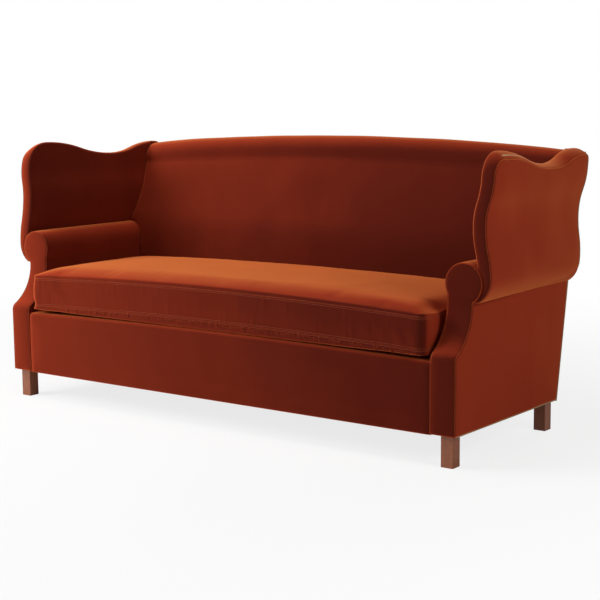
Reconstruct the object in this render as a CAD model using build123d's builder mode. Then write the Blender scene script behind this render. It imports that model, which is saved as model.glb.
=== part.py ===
# High back settee: a hardwood frame on four square legs, zigzag seat springs, padded
# roll arms, wings and back under velvet covers, and one loose bench cushion.
#
# Millimetres, +Z up, front towards -Y. While the pieces are made, y = 0 is the front face
# of the arms and of the seat rail. At the end every piece moves along Y, so that the
# origin is the middle of the whole settee's footprint, on the floor.

import os
from math import atan2, cos, degrees, radians, sqrt, tan

from build123d import *

os.makedirs("parts", exist_ok=True)

# Driving sizes: the whole
base_width = 1900.0         # across the outside arms
base_depth = 648.0          # front face to rear face, at the foot of the upholstery
crest_height = 949.0        # floor to the top of the back, in the middle
crest_drop = 37.0           # the crest is this much lower above the outside arms
rake = 10.0                 # lean of the rear face, degrees

# Legs
leg_height = 96.0
leg_side = 42.0
leg_inset = 18.0            # in from the front and side faces
leg_rear_inset = 6.0        # in from the rear face
leg_edge = 2.0              # rounding of a leg's upright edges
bolt_radius = 4.0
bolt_in_leg = 46.0
bolt_in_frame = 40.0
rear_bolt_back = 7.0        # the rear bolts stand this far behind the middle of their legs

# Arms
arm_width = 87.0
arm_height = 606.0
roll_radius = 63.0
roll_overhang = 31.0        # the roll stands this far past the outside arm
arm_setback = 95.0          # the roll's front is this far behind the arm's foot
knee_height = 322.0         # where the arm's front starts to curve back
knee_radius = 25.0
knee_turn = 60.0            # degrees

# Seat
rail_height = 316.0         # top of the padded front rail, at the arms
rail_crown = 12.0           # the rail's rise in the middle
rail_depth = 64.0
rail_edge = 14.0            # rounding of the rail's top front edge
seat_depth = 595.0          # front face to the inside back
rail_timber_top = 280.0

# Back
lean = 21.5                 # lean of the inside back, degrees
lean_height = 592.0         # where the upright and the leaning part would meet
lean_radius = 250.0
back_crown = 8.0            # the inside back swells this much towards the middle
crest_edge = 28.0           # rounding of the crest
crest_pad = 30.0            # padding over the crest rail
arch_margin = 100.0         # the crest's arch is drawn this far past the outside arms
back_stations = 3           # sections of the back on each side of the middle one

# Wings, seen from the front: outer face past the outside arm
wing_foot_reach = 5.0
wing_bulge_reach = 57.0
wing_waist_reach = 37.0
wing_flare_reach = 56.0
wing_foot = 484.0           # heights of the same four places
wing_bulge_height = 555.0
wing_waist_height = 720.0
wing_flare_height = 850.0
wing_thickness = 45.0       # at the front
wing_swell = 17.0           # thicker at the back
wing_toe = 20.0             # the outer face comes in this much towards the back

# Wings, seen from the side: places as (behind the front face, height)
wing_front = 102.0
wing_lean = (122.0, 860.0)
wing_shoulder = (205.0, 930.0)
wing_dip = (540.0, 877.0)
wing_ear = (760.0, 916.0)

# Cushion
cushion_gap = 1.5           # to the arm rolls
cushion_nose = 10.0         # stands this far in front of the rail
cushion_back_gap = 5.0      # to the inside back, at the corners
cushion_rest_gap = 0.3      # to the deck
cushion_bottom_seam = 361.0
cushion_top_seam = 455.0
cushion_top = 494.0
cushion_draw = 6.0          # the sides pull in this much between the corners
cushion_corner = 30.0
cushion_bulge = 3.0         # the boxing stands this far past the seams
foam_margin = 60.0          # from the cushion's sides to the foam core
foam_edge = 18.0
foam_under = 9.0            # the foam starts this far under the bottom seam
cushion_under = ((0.0, 92.0), (12.0, 36.0))             # (above the deck, in from the seam)
cushion_crown = ((17.0, 52.0), (5.0, 145.0), (0.0, 235.0))  # (below the top, in from the seam)

# Layers
cloth = 1.5
board = 3.0
front_pad = 12.0            # face of the arm to its post
side_pad = 25.0             # inside face of the arm to its post
wing_pad_depth = 10.0       # face of the wing to its timber
hessian = 1.2
webbing = 2.0

# Timber
timber = 28.0               # thickness of the back frame
post_width = 50.0
rail_thickness = 30.0
side_rail = (25.5, 110.0)   # thickness, height
tack_rail = (18.0, 30.0)
tack_rail_height = 335.0
back_tack_height = 50.0
roll_timber_top = 566.0
arm_rail_depth = 28.0
crest_rail_depth = 90.0
wing_timber = 35.0
upright_width = 45.0
upright_places = 3
stretcher = (45.0, 62.0)
stretcher_spacing = 450.0
block_side = 70.0
block_height = 60.0

# Springs
spring_wire = 1.9           # radius
spring_count = 10
spring_half_width = 22.0
spring_bars = 18
spring_bend_share = 0.49    # radius of a spring's bends, as a share of the bars' spacing
clip = (34.0, 16.0, 5.0)
web_width = 50.0
web_heights = (440.0, 530.0, 620.0, 710.0, 800.0)

# Worked out from the sizes above
reach = 2500.0              # further than any piece goes
arm_out = base_width / 2
arm_in = arm_out - arm_width
roll_x = arm_out + roll_overhang - roll_radius
roll_z = arm_height - roll_radius
neck_height = roll_z - sqrt(roll_radius**2 - (arm_out - roll_x) ** 2)
rise_radius = arm_setback / (1 - cos(radians(knee_turn))) - knee_radius
skin = cloth + board
deck_height = rail_height + rail_crown
frame_foot = leg_height + cloth
post_in = arm_in + side_pad
post_out = post_in + post_width
board_in = arm_out - skin
rail_timber_back = front_pad + cloth + rail_thickness
crest_arc = (arm_out**2 + crest_drop**2) / (2 * crest_drop)
back_half = arm_out - wing_thickness / 2
leg_x = arm_out - leg_inset - leg_side / 2
leg_front_y = leg_inset + leg_side / 2
leg_rear_y = base_depth - leg_rear_inset - leg_side / 2
rear_plane = Plane(
    origin=(0, base_depth, leg_height), x_dir=(1, 0, 0),
    z_dir=(0, cos(radians(rake)), -cos(radians(90 - rake))),
)
pieces = {}


def rear_y(z):
    """Where the rear face is at a height."""
    return base_depth + tan(radians(rake)) * (z - leg_height)


def crest_z(x):
    """Height of the arched crest at a distance from the middle."""
    return crest_height - crest_arc + sqrt(crest_arc**2 - x**2)


def limits_box(x, y, z, mode=Mode.ADD):
    """A box from its lowest and highest x, y and z, in the block that is open."""
    with Locations(((x[0] + x[1]) / 2, (y[0] + y[1]) / 2, (z[0] + z[1]) / 2)):
        Box(x[1] - x[0], y[1] - y[0], z[1] - z[0], mode=mode)


def rear_slab(near, far):
    """The layer that lies between two depths in front of the rear face."""
    with BuildPart() as slab:
        with BuildSketch(rear_plane.offset(-far)):
            Rectangle(2 * reach, 2 * reach)
        extrude(amount=far - near)
    return slab.part


def under_crest(drop):
    """Everything that is lower than the crest's arch by the drop or more."""
    with BuildPart() as under:
        with BuildSketch(Plane.XZ):
            with BuildLine():
                half = arm_out + arch_margin
                arch = ThreePointArc((-half, crest_z(half) - drop), (0, crest_z(0) - drop),
                                     (half, crest_z(half) - drop))
                Polyline(arch @ 1, (half, -reach), (-half, -reach), arch @ 0)
            make_face()
        extrude(amount=-reach)
    return under.part


def double_arc(start, end, tangent):
    """An S of two equal arcs, which leaves and arrives along the tangent."""
    middle = ((start[0] + end[0]) / 2, (start[1] + end[1]) / 2)
    first = TangentArc(start, middle, tangent=tangent)
    return TangentArc(middle, end, tangent=first % 1)


def arm_side(inset=0.0, back=0.0):
    """Side view of everything behind the arm's front face, inset and moved back."""
    with BuildSketch(Plane.YZ) as side:
        with BuildLine():
            foot = Line((inset, -reach), (inset, knee_height))
            knee = JernArc(foot @ 1, foot % 1, knee_radius - inset, -knee_turn)
            rise = JernArc(knee @ 1, knee % 1, rise_radius + inset, knee_turn)
            Polyline(rise @ 1, (arm_setback + inset, reach), (reach, reach), (reach, -reach), foot @ 0)
        make_face()
    return side.sketch.moved(Location((0, back, 0)))


def arm_form(inset=0.0):
    """The right arm, drawn in by the inset except at its foot and rear."""
    with BuildPart() as form:
        with BuildSketch(Plane.XZ):
            with Locations(((arm_in + arm_out) / 2, (leg_height + roll_z) / 2)):
                Rectangle(arm_width - 2 * inset, roll_z - leg_height)
            with Locations((roll_x, roll_z)):
                Circle(roll_radius - inset)
        extrude(amount=-reach)
        extrude(arm_side(inset), amount=reach, mode=Mode.INTERSECT)
        add(rear_slab(-reach, skin), mode=Mode.SUBTRACT)
    return form.part


def wing_region(depth, swell=0.0, lift=0.0):
    """Everything inboard of a surface that lies at a depth inside the wing's outer face."""
    face = arm_out - depth
    foot = (face + wing_foot_reach, wing_foot + lift)
    bulge = (face + wing_bulge_reach, wing_bulge_height)
    waist = (face + wing_waist_reach, wing_waist_height)
    flare = (face + wing_flare_reach, wing_flare_height)
    toe_angle = degrees(atan2(wing_toe + swell, base_depth - wing_front))
    with BuildPart() as region:
        with BuildSketch(Plane.XZ):
            with BuildLine():
                TangentArc(bulge, foot, tangent=(0, -1))
                double_arc(bulge, waist, (0, 1))
                double_arc(waist, flare, (0, 1))
                Polyline(flare, (flare[0], reach), (-reach, reach), (-reach, foot[1]), foot)
            make_face()
        extrude(amount=reach, both=True)
    return region.part.rotate(Axis((arm_out, wing_front, 0), (0, 0, 1)), toe_angle)


def wing_side(inset=0.0, lower=0.0):
    """Side view of the wing, drawn in by the inset and lowered."""
    low_front = (wing_front + inset, wing_foot + inset)
    lean_top = (wing_lean[0] + inset, wing_lean[1])
    shoulder, dip, ear = ((y, z - inset) for y, z in (wing_shoulder, wing_dip, wing_ear))
    chord = atan2(shoulder[0] - lean_top[0], shoulder[1] - lean_top[1])
    heading = 2 * degrees(chord) - 90
    lean_start = lean_top[1] - (lean_top[0] - low_front[0]) / tan(radians(heading / 2))
    with BuildSketch(Plane.YZ) as side:
        with BuildLine():
            front = Line(low_front, (low_front[0], lean_start))
            TangentArc(front @ 1, lean_top, tangent=(0, 1))
            TangentArc(shoulder, lean_top, tangent=(-1, 0))
            double_arc(shoulder, dip, (1, 0))
            double_arc(dip, ear, (1, 0))
            Polyline(ear, (reach, ear[1]), (reach, low_front[1]), low_front)
        make_face()
    return side.sketch.moved(Location((0, 0, -lower)))


def wing_form(inset=0.0):
    """The right wing, drawn in by the inset except against the arm and the rear."""
    with BuildPart() as form:
        add(wing_region(inset, lift=inset))
        add(wing_region(wing_thickness - inset, wing_swell), mode=Mode.SUBTRACT)
        extrude(wing_side(inset), amount=reach, mode=Mode.INTERSECT)
        add(arm_whole, mode=Mode.SUBTRACT)
        add(rear_slab(-reach, skin), mode=Mode.SUBTRACT)
    return form.part


def back_section(x, inset):
    """The back's outline from the side, at a distance from the middle."""
    slope = tan(radians(lean))
    face = seat_depth - back_crown * (1 - (x / back_half) ** 2) + inset
    corner = lean_height - inset * tan(radians(lean / 2))
    top = crest_z(abs(x)) - inset
    foot = deck_height + cushion_rest_gap
    behind = (skin + inset) / cos(radians(rake))
    with BuildSketch(Plane.YZ.offset(x)) as section:
        with BuildLine():
            Polyline(
                (face, foot), (face, corner), (face + slope * (top - corner), top),
                (rear_y(top) - behind, top), (rear_y(foot) - behind, foot), close=True,
            )
        make_face()
        fillet(section.vertices().group_by(Axis.Y)[-1], crest_edge - inset)
        bend = section.vertices().sort_by_distance((face, corner, 0))[0]
        fillet(bend, lean_radius - inset)
    return section.sketch


def back_form(inset=0.0):
    """The whole back between arms and wings, drawn in by the inset in front and on top."""
    steps = range(-back_stations, back_stations + 1)
    stations = [back_half * step / back_stations for step in steps]
    with BuildPart() as form:
        loft([back_section(x, inset) for x in stations])
        for side in both(arm_whole) + both(wing_whole):
            add(side, mode=Mode.SUBTRACT)
    return form.part


def rail_form(inset=0.0):
    """The padded front rail between the arms, drawn in on its front and top."""
    with BuildPart() as form:
        for x, rise in ((-arm_in, 0), (0, rail_crown), (arm_in, 0)):
            with BuildSketch(Plane.YZ.offset(x)) as section:
                top = rail_height + rise - inset
                with BuildLine():
                    Polyline((inset, leg_height), (inset, top), (rail_depth, top),
                             (rail_depth, leg_height), close=True)
                make_face()
                fillet(section.vertices().group_by(Axis.Y)[-1].sort_by(Axis.X)[0],
                       rail_edge - inset)
        loft()
    return form.part


def both(part):
    """A piece of the right side and its mirror image, neither added to an open block."""
    return [part, mirror(part, about=Plane.YZ, mode=Mode.PRIVATE)]


def keep(name, part):
    """Names a finished piece."""
    part.label = name
    pieces[name] = part


def keep_pair(name, part):
    """Names a piece of the right side and its mirror image on the left."""
    for side, piece in zip(("right", "left"), both(part)):
        keep(f"{name}_{side}", piece)


# Whole forms, and the same forms under their cloth
arm_whole = arm_form()
arm_body = arm_form(cloth)
wing_whole = wing_form()
wing_body = wing_form(cloth)
back_whole = back_form()
back_body = back_form(cloth)
rail_whole = rail_form()
rail_body = rail_form(cloth)
behind_arm_face = arm_side(cloth)
behind_arm_pad = arm_side(front_pad)
behind_arm_post = arm_side(front_pad, post_width)

# Legs, each with a bolt up into the frame
bolt_low = frame_foot - bolt_in_leg
bolt_high = frame_foot + bolt_in_frame
leg_spots = {"front": leg_front_y, "rear": leg_rear_y}
bolt_spots = {"front": leg_front_y, "rear": leg_rear_y + rear_bolt_back}
bolt_places = [(s * leg_x, y) for s in (-1, 1) for y in bolt_spots.values()]

with BuildPart() as bolt_holes:
    with Locations(*[(x, y, (bolt_low + bolt_high) / 2) for x, y in bolt_places]):
        Cylinder(bolt_radius, bolt_high - bolt_low)

with BuildPart() as leg_bolts:
    add(bolt_holes.part)
keep("leg_bolts", leg_bolts.part)

for end, leg_y in leg_spots.items():
    with BuildPart() as leg:
        with BuildSketch(Plane.XY) as foot_print:
            with Locations((leg_x, leg_y)):
                Rectangle(leg_side, leg_side)
            fillet(foot_print.vertices(), leg_edge)
        extrude(amount=frame_foot)
        add(bolt_holes.part, mode=Mode.SUBTRACT)
    keep_pair(f"{end}_leg", leg.part)

# Seat frame
with BuildPart() as front_seat_rail:
    limits_box((-post_in, post_in), (rail_timber_back - rail_thickness, rail_timber_back),
               (frame_foot, rail_timber_top))
keep("front_seat_rail", front_seat_rail.part)

with BuildPart() as back_seat_rail:
    limits_box((-post_in, post_in), (0, reach), (frame_foot, rail_timber_top))
    add(rear_slab(skin, skin + timber), mode=Mode.INTERSECT)
keep("back_seat_rail", back_seat_rail.part)

with BuildPart() as side_seat_rail:
    limits_box((board_in - side_rail[0], board_in), (0, reach),
               (frame_foot, frame_foot + side_rail[1]))
    extrude(behind_arm_post, amount=reach, mode=Mode.INTERSECT)
    add(rear_slab(-reach, skin + timber), mode=Mode.SUBTRACT)
keep_pair("side_seat_rail", side_seat_rail.part)

with BuildPart() as seat_stretchers:
    for place in (-1, 0, 1):
        middle = place * stretcher_spacing
        limits_box((middle - stretcher[0] / 2, middle + stretcher[0] / 2),
                   (rail_timber_back, reach), (frame_foot, frame_foot + stretcher[1]))
    add(rear_slab(-reach, skin + timber), mode=Mode.SUBTRACT)
keep("seat_stretchers", seat_stretchers.part)

with BuildPart() as corner_blocks:
    rear_corner = rear_y(frame_foot)
    for side in (-1, 1):
        with BuildSketch(Plane.XY.offset(frame_foot)):
            with BuildLine():
                Polyline((side * post_in, rail_timber_back),
                         (side * (post_in - block_side), rail_timber_back),
                         (side * post_in, rail_timber_back + block_side), close=True)
            make_face()
            rail_in = board_in - side_rail[0]
            with BuildLine():
                Polyline((side * rail_in, rear_corner), (side * (rail_in - block_side), rear_corner),
                         (side * rail_in, rear_corner - block_side - timber), close=True)
            make_face()
    extrude(amount=block_height)
    add(rear_slab(-reach, skin + timber), mode=Mode.SUBTRACT)
keep("corner_blocks", corner_blocks.part)

# Back frame: every timber is cut from the same leaning layer
back_layer = rear_slab(skin, skin + timber)
under_crest_pad = under_crest(crest_pad)
under_crest_rail = under_crest(crest_pad + crest_rail_depth)

with BuildPart() as back_hollow:
    add(rear_slab(-reach, skin + timber + webbing))
    add(under_crest_pad, mode=Mode.INTERSECT)

with BuildPart() as back_post:
    limits_box((post_in, post_out), (0, reach), (frame_foot, crest_height))
    add(back_layer, mode=Mode.INTERSECT)
    add(under_crest_pad, mode=Mode.INTERSECT)
    add(bolt_holes.part, mode=Mode.SUBTRACT)
keep_pair("back_post", back_post.part)

with BuildPart() as crest_rail:
    limits_box((-post_in, post_in), (0, reach), (roll_z, crest_height))
    add(back_layer, mode=Mode.INTERSECT)
    add(under_crest_pad, mode=Mode.INTERSECT)
    add(under_crest_rail, mode=Mode.SUBTRACT)
keep("crest_rail", crest_rail.part)

with BuildPart() as back_tack_rail:
    limits_box((-post_in, post_in), (0, reach),
               (tack_rail_height, tack_rail_height + back_tack_height))
    add(back_layer, mode=Mode.INTERSECT)
keep("back_tack_rail", back_tack_rail.part)

with BuildPart() as back_uprights:
    upright_spacing = 2 * post_in / (upright_places + 1)
    for place in range(1, upright_places + 1):
        middle = place * upright_spacing - post_in
        limits_box((middle - upright_width / 2, middle + upright_width / 2), (0, reach),
                   (tack_rail_height + back_tack_height, crest_height))
    add(back_layer, mode=Mode.INTERSECT)
    add(under_crest_rail, mode=Mode.INTERSECT)
keep("back_uprights", back_uprights.part)

with BuildPart() as back_webbing:
    for height in web_heights:
        limits_box((-post_in, post_in), (0, reach), (height - web_width / 2, height + web_width / 2))
    add(rear_slab(skin + timber, skin + timber + webbing), mode=Mode.INTERSECT)
keep("back_webbing", back_webbing.part)

# Arm frame
with BuildPart() as arm_post:
    limits_box((post_in, post_out), (0, reach), (frame_foot, roll_timber_top))
    extrude(behind_arm_pad, amount=reach, mode=Mode.INTERSECT)
    extrude(behind_arm_post, amount=reach, mode=Mode.SUBTRACT)
    add(bolt_holes.part, mode=Mode.SUBTRACT)
keep_pair("arm_post", arm_post.part)

with BuildPart() as arm_top_rail:
    limits_box((post_in, post_out), (0, reach), (roll_timber_top - arm_rail_depth, roll_timber_top))
    extrude(behind_arm_post, amount=reach, mode=Mode.INTERSECT)
    add(rear_slab(-reach, skin + timber), mode=Mode.SUBTRACT)
keep_pair("arm_top_rail", arm_top_rail.part)

with BuildPart() as arm_tack_rail:
    limits_box((post_in, post_in + tack_rail[0]), (0, reach),
               (tack_rail_height, tack_rail_height + tack_rail[1]))
    extrude(behind_arm_post, amount=reach, mode=Mode.INTERSECT)
    add(rear_slab(-reach, skin + timber), mode=Mode.SUBTRACT)

with BuildPart() as arm_tack_rails:
    for piece in both(arm_tack_rail.part):
        add(piece)
keep("arm_tack_rails", arm_tack_rails.part)

with BuildPart() as outer_arm_board:
    limits_box((board_in, board_in + board), (0, reach), (frame_foot, neck_height))
    extrude(behind_arm_pad, amount=reach, mode=Mode.INTERSECT)
    add(rear_slab(-reach, skin), mode=Mode.SUBTRACT)
keep_pair("outer_arm_board", outer_arm_board.part)

# Wing frame
wing_core = wing_form(wing_pad_depth)
wing_post_back = wing_front + wing_pad_depth + wing_timber
with BuildPart() as wing_post:
    add(wing_core)
    limits_box((0, reach), (0, wing_post_back), (neck_height, reach), mode=Mode.INTERSECT)
keep_pair("wing_post", wing_post.part)

with BuildPart() as wing_top_rail:
    add(wing_core)
    limits_box((0, reach), (wing_post_back, reach), (0, reach), mode=Mode.INTERSECT)
    extrude(wing_side(wing_pad_depth, wing_timber), amount=reach, mode=Mode.SUBTRACT)
    add(back_post.part, mode=Mode.SUBTRACT)
keep_pair("wing_top_rail", wing_top_rail.part)

# Suspension
spring_start = rail_timber_back - rail_thickness / 2
spring_end = rear_y(rail_timber_top) - (skin + timber / 2) / cos(radians(rake))
spring_pitch = (spring_end - spring_start) / (spring_bars - 1)
spring_z = rail_timber_top + clip[2] / 2
spring_places = [
    (2 * arm_in * (place + 0.5) / spring_count - arm_in) for place in range(spring_count)
]

with BuildPart() as one_spring:
    bar_ends = []
    for bar in range(spring_bars):
        side = 1 if bar % 2 else -1
        y = spring_start + bar * spring_pitch
        bar_ends += [(side * spring_half_width, y, spring_z), (-side * spring_half_width, y, spring_z)]
    with BuildLine() as wire:
        FilletPolyline(*bar_ends, radius=spring_pitch * spring_bend_share)
    with BuildSketch(Plane(wire.line @ 0, z_dir=wire.line % 0)):
        Circle(spring_wire)
    sweep(path=wire.line)

with BuildPart() as seat_springs:
    with Locations(*[(x, 0, 0) for x in spring_places]):
        add(one_spring.part)
keep("seat_springs", seat_springs.part)

with BuildPart() as spring_clips:
    for y in (spring_start, spring_end):
        with Locations(*[(x, y, spring_z) for x in spring_places]):
            Box(*clip)
    add(seat_springs.part, mode=Mode.SUBTRACT)
keep("spring_clips", spring_clips.part)

hessian_foot = rail_timber_top + clip[2]
with BuildPart() as seat_hessian:
    limits_box((-arm_in, arm_in), (rail_depth, reach), (hessian_foot, hessian_foot + hessian))
    add(rear_slab(-reach, skin + timber), mode=Mode.SUBTRACT)
keep("seat_hessian", seat_hessian.part)

# Seat padding and covers
with BuildPart() as deck_pad:
    limits_box((-arm_in, arm_in), (rail_depth, reach), (hessian_foot + hessian, deck_height - cloth))
    add(rear_slab(-reach, skin + timber), mode=Mode.SUBTRACT)
keep("deck_pad", deck_pad.part)

with BuildPart() as deck_cover:
    limits_box((-arm_in, arm_in), (rail_depth, reach), (deck_height - cloth, deck_height))
    add(rear_slab(-reach, skin + timber), mode=Mode.SUBTRACT)
keep("deck_cover", deck_cover.part)

with BuildPart() as front_rail_pad:
    add(rail_body)
    limits_box((-arm_in, arm_in), (rail_timber_back - rail_thickness, rail_timber_back),
               (0, rail_timber_top), mode=Mode.SUBTRACT)
    limits_box((-arm_in, arm_in), (rail_timber_back, reach), (0, hessian_foot), mode=Mode.SUBTRACT)
    with Locations(*[(x, spring_start, spring_z) for x in spring_places]):
        Box(2 * spring_half_width + clip[1], rail_depth, clip[2], mode=Mode.SUBTRACT)
keep("front_rail_pad", front_rail_pad.part)

with BuildPart() as front_rail_cover:
    add(rail_whole)
    add(rail_body, mode=Mode.SUBTRACT)
keep("front_rail_cover", front_rail_cover.part)

# Arm padding and covers. Under the deck the inside of each arm is open to the seat frame.
under_deck = ((0, post_in), (front_pad, reach), (0, hessian_foot))
with BuildPart() as arm_hollow:
    limits_box((post_in, board_in), (0, reach), (0, roll_timber_top))
    limits_box((post_in, board_in + board), (0, reach), (0, neck_height))
    extrude(behind_arm_pad, amount=reach, mode=Mode.INTERSECT)

with BuildPart() as arm_back_gap:
    limits_box((0, post_in), (0, reach), (0, crest_height))
    add(back_hollow.part, mode=Mode.INTERSECT)

with BuildPart() as arm_pad:
    add(arm_body)
    for space in (arm_hollow, arm_back_gap, back_post):
        add(space.part, mode=Mode.SUBTRACT)
    limits_box(*under_deck, mode=Mode.SUBTRACT)
keep_pair("arm_pad", arm_pad.part)

with BuildPart() as arm_facing:
    add(arm_whole)
    extrude(behind_arm_face, amount=reach, mode=Mode.SUBTRACT)
keep_pair("arm_facing", arm_facing.part)

with BuildPart() as outer_arm_cover:
    limits_box((arm_out - cloth, arm_out), (0, reach), (leg_height, neck_height))
    extrude(behind_arm_face, amount=reach, mode=Mode.INTERSECT)
    add(rear_slab(-reach, skin), mode=Mode.SUBTRACT)
keep_pair("outer_arm_cover", outer_arm_cover.part)

with BuildPart() as inner_arm_cover:
    add(arm_whole)
    add(arm_body, mode=Mode.SUBTRACT)
    extrude(behind_arm_face, amount=reach, mode=Mode.INTERSECT)
    limits_box((post_in, reach), (0, reach), (0, neck_height), mode=Mode.SUBTRACT)
    limits_box(*under_deck, mode=Mode.SUBTRACT)
    for space in (arm_back_gap, back_post):
        add(space.part, mode=Mode.SUBTRACT)
keep_pair("inner_arm_cover", inner_arm_cover.part)

# Wing padding and covers
with BuildPart() as wing_pad:
    add(wing_body)
    for timber_piece in (wing_post, wing_top_rail, back_post):
        add(timber_piece.part, mode=Mode.SUBTRACT)
keep_pair("wing_pad", wing_pad.part)

inside_outer_cloth = wing_region(cloth, lift=cloth)
inside_inner_cloth = wing_region(wing_thickness - cloth, wing_swell)
with BuildPart() as outer_wing_cover:
    add(wing_whole)
    add(inside_outer_cloth, mode=Mode.SUBTRACT)
keep_pair("outer_wing_cover", outer_wing_cover.part)

with BuildPart() as inner_wing_cover:
    add(wing_whole)
    add(inside_inner_cloth, mode=Mode.INTERSECT)
    limits_box((0, reach), (0, reach), (roll_z, reach), mode=Mode.INTERSECT)
    add(back_post.part, mode=Mode.SUBTRACT)
keep_pair("inner_wing_cover", inner_wing_cover.part)

with BuildPart() as wing_border:
    add(wing_whole)
    for piece in (inner_wing_cover.part, outer_wing_cover.part, wing_body, back_post.part):
        add(piece, mode=Mode.SUBTRACT)
keep_pair("wing_border", wing_border.part)

# Back padding and covers
with BuildPart() as back_pad:
    add(back_body)
    add(back_hollow.part, mode=Mode.SUBTRACT)
keep("back_pad", back_pad.part)

with BuildPart() as inner_back_cover:
    add(back_whole)
    add(back_body, mode=Mode.SUBTRACT)
    add(back_hollow.part, mode=Mode.SUBTRACT)
keep("inner_back_cover", inner_back_cover.part)

with BuildPart() as rear_outline:
    right_bound, left_bound = both(wing_region(0))
    add(right_bound)
    add(left_bound, mode=Mode.INTERSECT)
    limits_box((-arm_out, arm_out), (0, reach), (0, neck_height))
    limits_box((-reach, reach), (0, reach), (leg_height, reach), mode=Mode.INTERSECT)
    add(under_crest_pad, mode=Mode.INTERSECT)

with BuildPart() as outer_back_board:
    add(rear_slab(cloth, skin))
    add(rear_outline.part, mode=Mode.INTERSECT)
keep("outer_back_board", outer_back_board.part)

with BuildPart() as outer_back_cover:
    add(rear_slab(0, cloth))
    add(rear_outline.part, mode=Mode.INTERSECT)
keep("outer_back_cover", outer_back_cover.part)

# Dust cover under the seat, cut out round the legs
with BuildPart() as dust_cover:
    limits_box((cloth - arm_out, arm_out - cloth), (rail_timber_back - rail_thickness, reach),
               (leg_height, frame_foot))
    with Locations(*[(s * leg_x, y, leg_height) for s in (-1, 1) for y in leg_spots.values()]):
        Box(leg_side, leg_side, leg_height, mode=Mode.SUBTRACT)
    add(rear_slab(-reach, skin), mode=Mode.SUBTRACT)
keep("dust_cover", dust_cover.part)

# The loose cushion: a crowned top, an upright boxing and a fuller underside, one on another
cushion_half = roll_x - roll_radius - cushion_gap
cushion_rear = seat_depth - cushion_back_gap
cushion_foot = deck_height + cushion_rest_gap


def cushion_plan(height, inset):
    """The cushion's outline from above, its sides pulled in between the corners."""
    x, front, rear = cushion_half - inset, inset - cushion_nose, cushion_rear - inset
    middle = (front + rear) / 2
    with BuildSketch(Plane.XY.offset(height)) as plan:
        with BuildLine():
            ThreePointArc((-x, front), (0, front + cushion_draw), (x, front))
            ThreePointArc((x, front), (x - cushion_draw, middle), (x, rear))
            ThreePointArc((x, rear), (0, rear - cushion_draw), (-x, rear))
            ThreePointArc((-x, rear), (cushion_draw - x, middle), (-x, front))
        make_face()
        fillet(plan.vertices(), cushion_corner)
    return plan.sketch


def cushion_form(inset=0.0):
    """The cushion's outside, drawn in by the inset."""
    seam = cushion_bulge + inset
    low, high = cushion_foot + inset, cushion_top - inset
    middle = (cushion_bottom_seam + cushion_top_seam) / 2
    bottom, top = (cushion_bottom_seam, seam), (cushion_top_seam, seam)
    layers = (
        [(low + rise, seam + step) for rise, step in cushion_under] + [bottom],
        [bottom, (middle, inset), top],
        [top] + [(high - drop, seam + step) for drop, step in cushion_crown],
    )
    with BuildPart() as form:
        for layer in layers:
            loft([cushion_plan(height, step) for height, step in layer])
    return form.part


cushion_body = cushion_form(cloth)
with BuildPart() as cushion_cover:
    add(cushion_form())
    add(cushion_body, mode=Mode.SUBTRACT)
keep("cushion_cover", cushion_cover.part)

with BuildPart() as cushion_core:
    limits_box((foam_margin - cushion_half, cushion_half - foam_margin),
               (foam_margin - cushion_nose, cushion_rear - foam_margin),
               (cushion_bottom_seam - foam_under, cushion_top_seam))
    fillet(cushion_core.edges(), foam_edge)
keep("cushion_core", cushion_core.part)

with BuildPart() as cushion_wrap:
    add(cushion_body)
    add(cushion_core.part, mode=Mode.SUBTRACT)
keep("cushion_wrap", cushion_wrap.part)

# The origin goes to the middle of the footprint
boxes = [piece.bounding_box() for piece in pieces.values()]
middle_y = (min(box.min.Y for box in boxes) + max(box.max.Y for box in boxes)) / 2
print(f"front face at y = {-middle_y:.3f}")
for name, piece in pieces.items():
    placed = piece.moved(Location((0, -middle_y, 0)))
    placed.label = name
    export_step(placed, f"parts/{name}.step")
    print(f"{name}: {len(placed.solids())} solids, {placed.volume / 1000:.0f} cm3")
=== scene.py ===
from functools import partial
from math import atan2, cos, degrees, pi, radians, sin, sqrt, tan

import bpy
import numpy as np
from mathutils import Matrix, Vector, noise
from mathutils.bvhtree import BVHTree
from mathutils.geometry import delaunay_2d_cdt
from mathutils.kdtree import KDTree


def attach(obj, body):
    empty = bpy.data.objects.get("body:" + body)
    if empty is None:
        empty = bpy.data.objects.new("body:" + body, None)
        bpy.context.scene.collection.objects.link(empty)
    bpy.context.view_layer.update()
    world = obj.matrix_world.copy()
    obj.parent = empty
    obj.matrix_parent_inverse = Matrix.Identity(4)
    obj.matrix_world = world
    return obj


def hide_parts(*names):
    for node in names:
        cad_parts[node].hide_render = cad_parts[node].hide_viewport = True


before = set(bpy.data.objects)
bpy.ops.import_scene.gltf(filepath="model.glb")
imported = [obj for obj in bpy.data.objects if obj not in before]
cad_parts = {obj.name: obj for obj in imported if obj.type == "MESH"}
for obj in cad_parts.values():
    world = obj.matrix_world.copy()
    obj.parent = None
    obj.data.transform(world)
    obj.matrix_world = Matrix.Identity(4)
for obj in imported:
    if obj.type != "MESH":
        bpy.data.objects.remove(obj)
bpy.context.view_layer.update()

# Sizes are millimetres. x is from the middle, z from the floor, and y is measured back from
# the arms' front faces until a mesh is made: the settee's middle is 391.775 behind them.
frontFace = -391.775
mm = 0.001
sides = ((1, "right"), (-1, "left"))

whole = {"outside": 950.0, "depth": 648.0, "rake": 10.0, "foot": 96.0,
         "crest": 949.0, "crestDrop": 37.0, "backLayer": 4.5}
slope = tan(radians(whole["rake"]))
archRadius = (whole["outside"] ** 2 + whole["crestDrop"] ** 2) / (2 * whole["crestDrop"])


# Colours and materials

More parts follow.
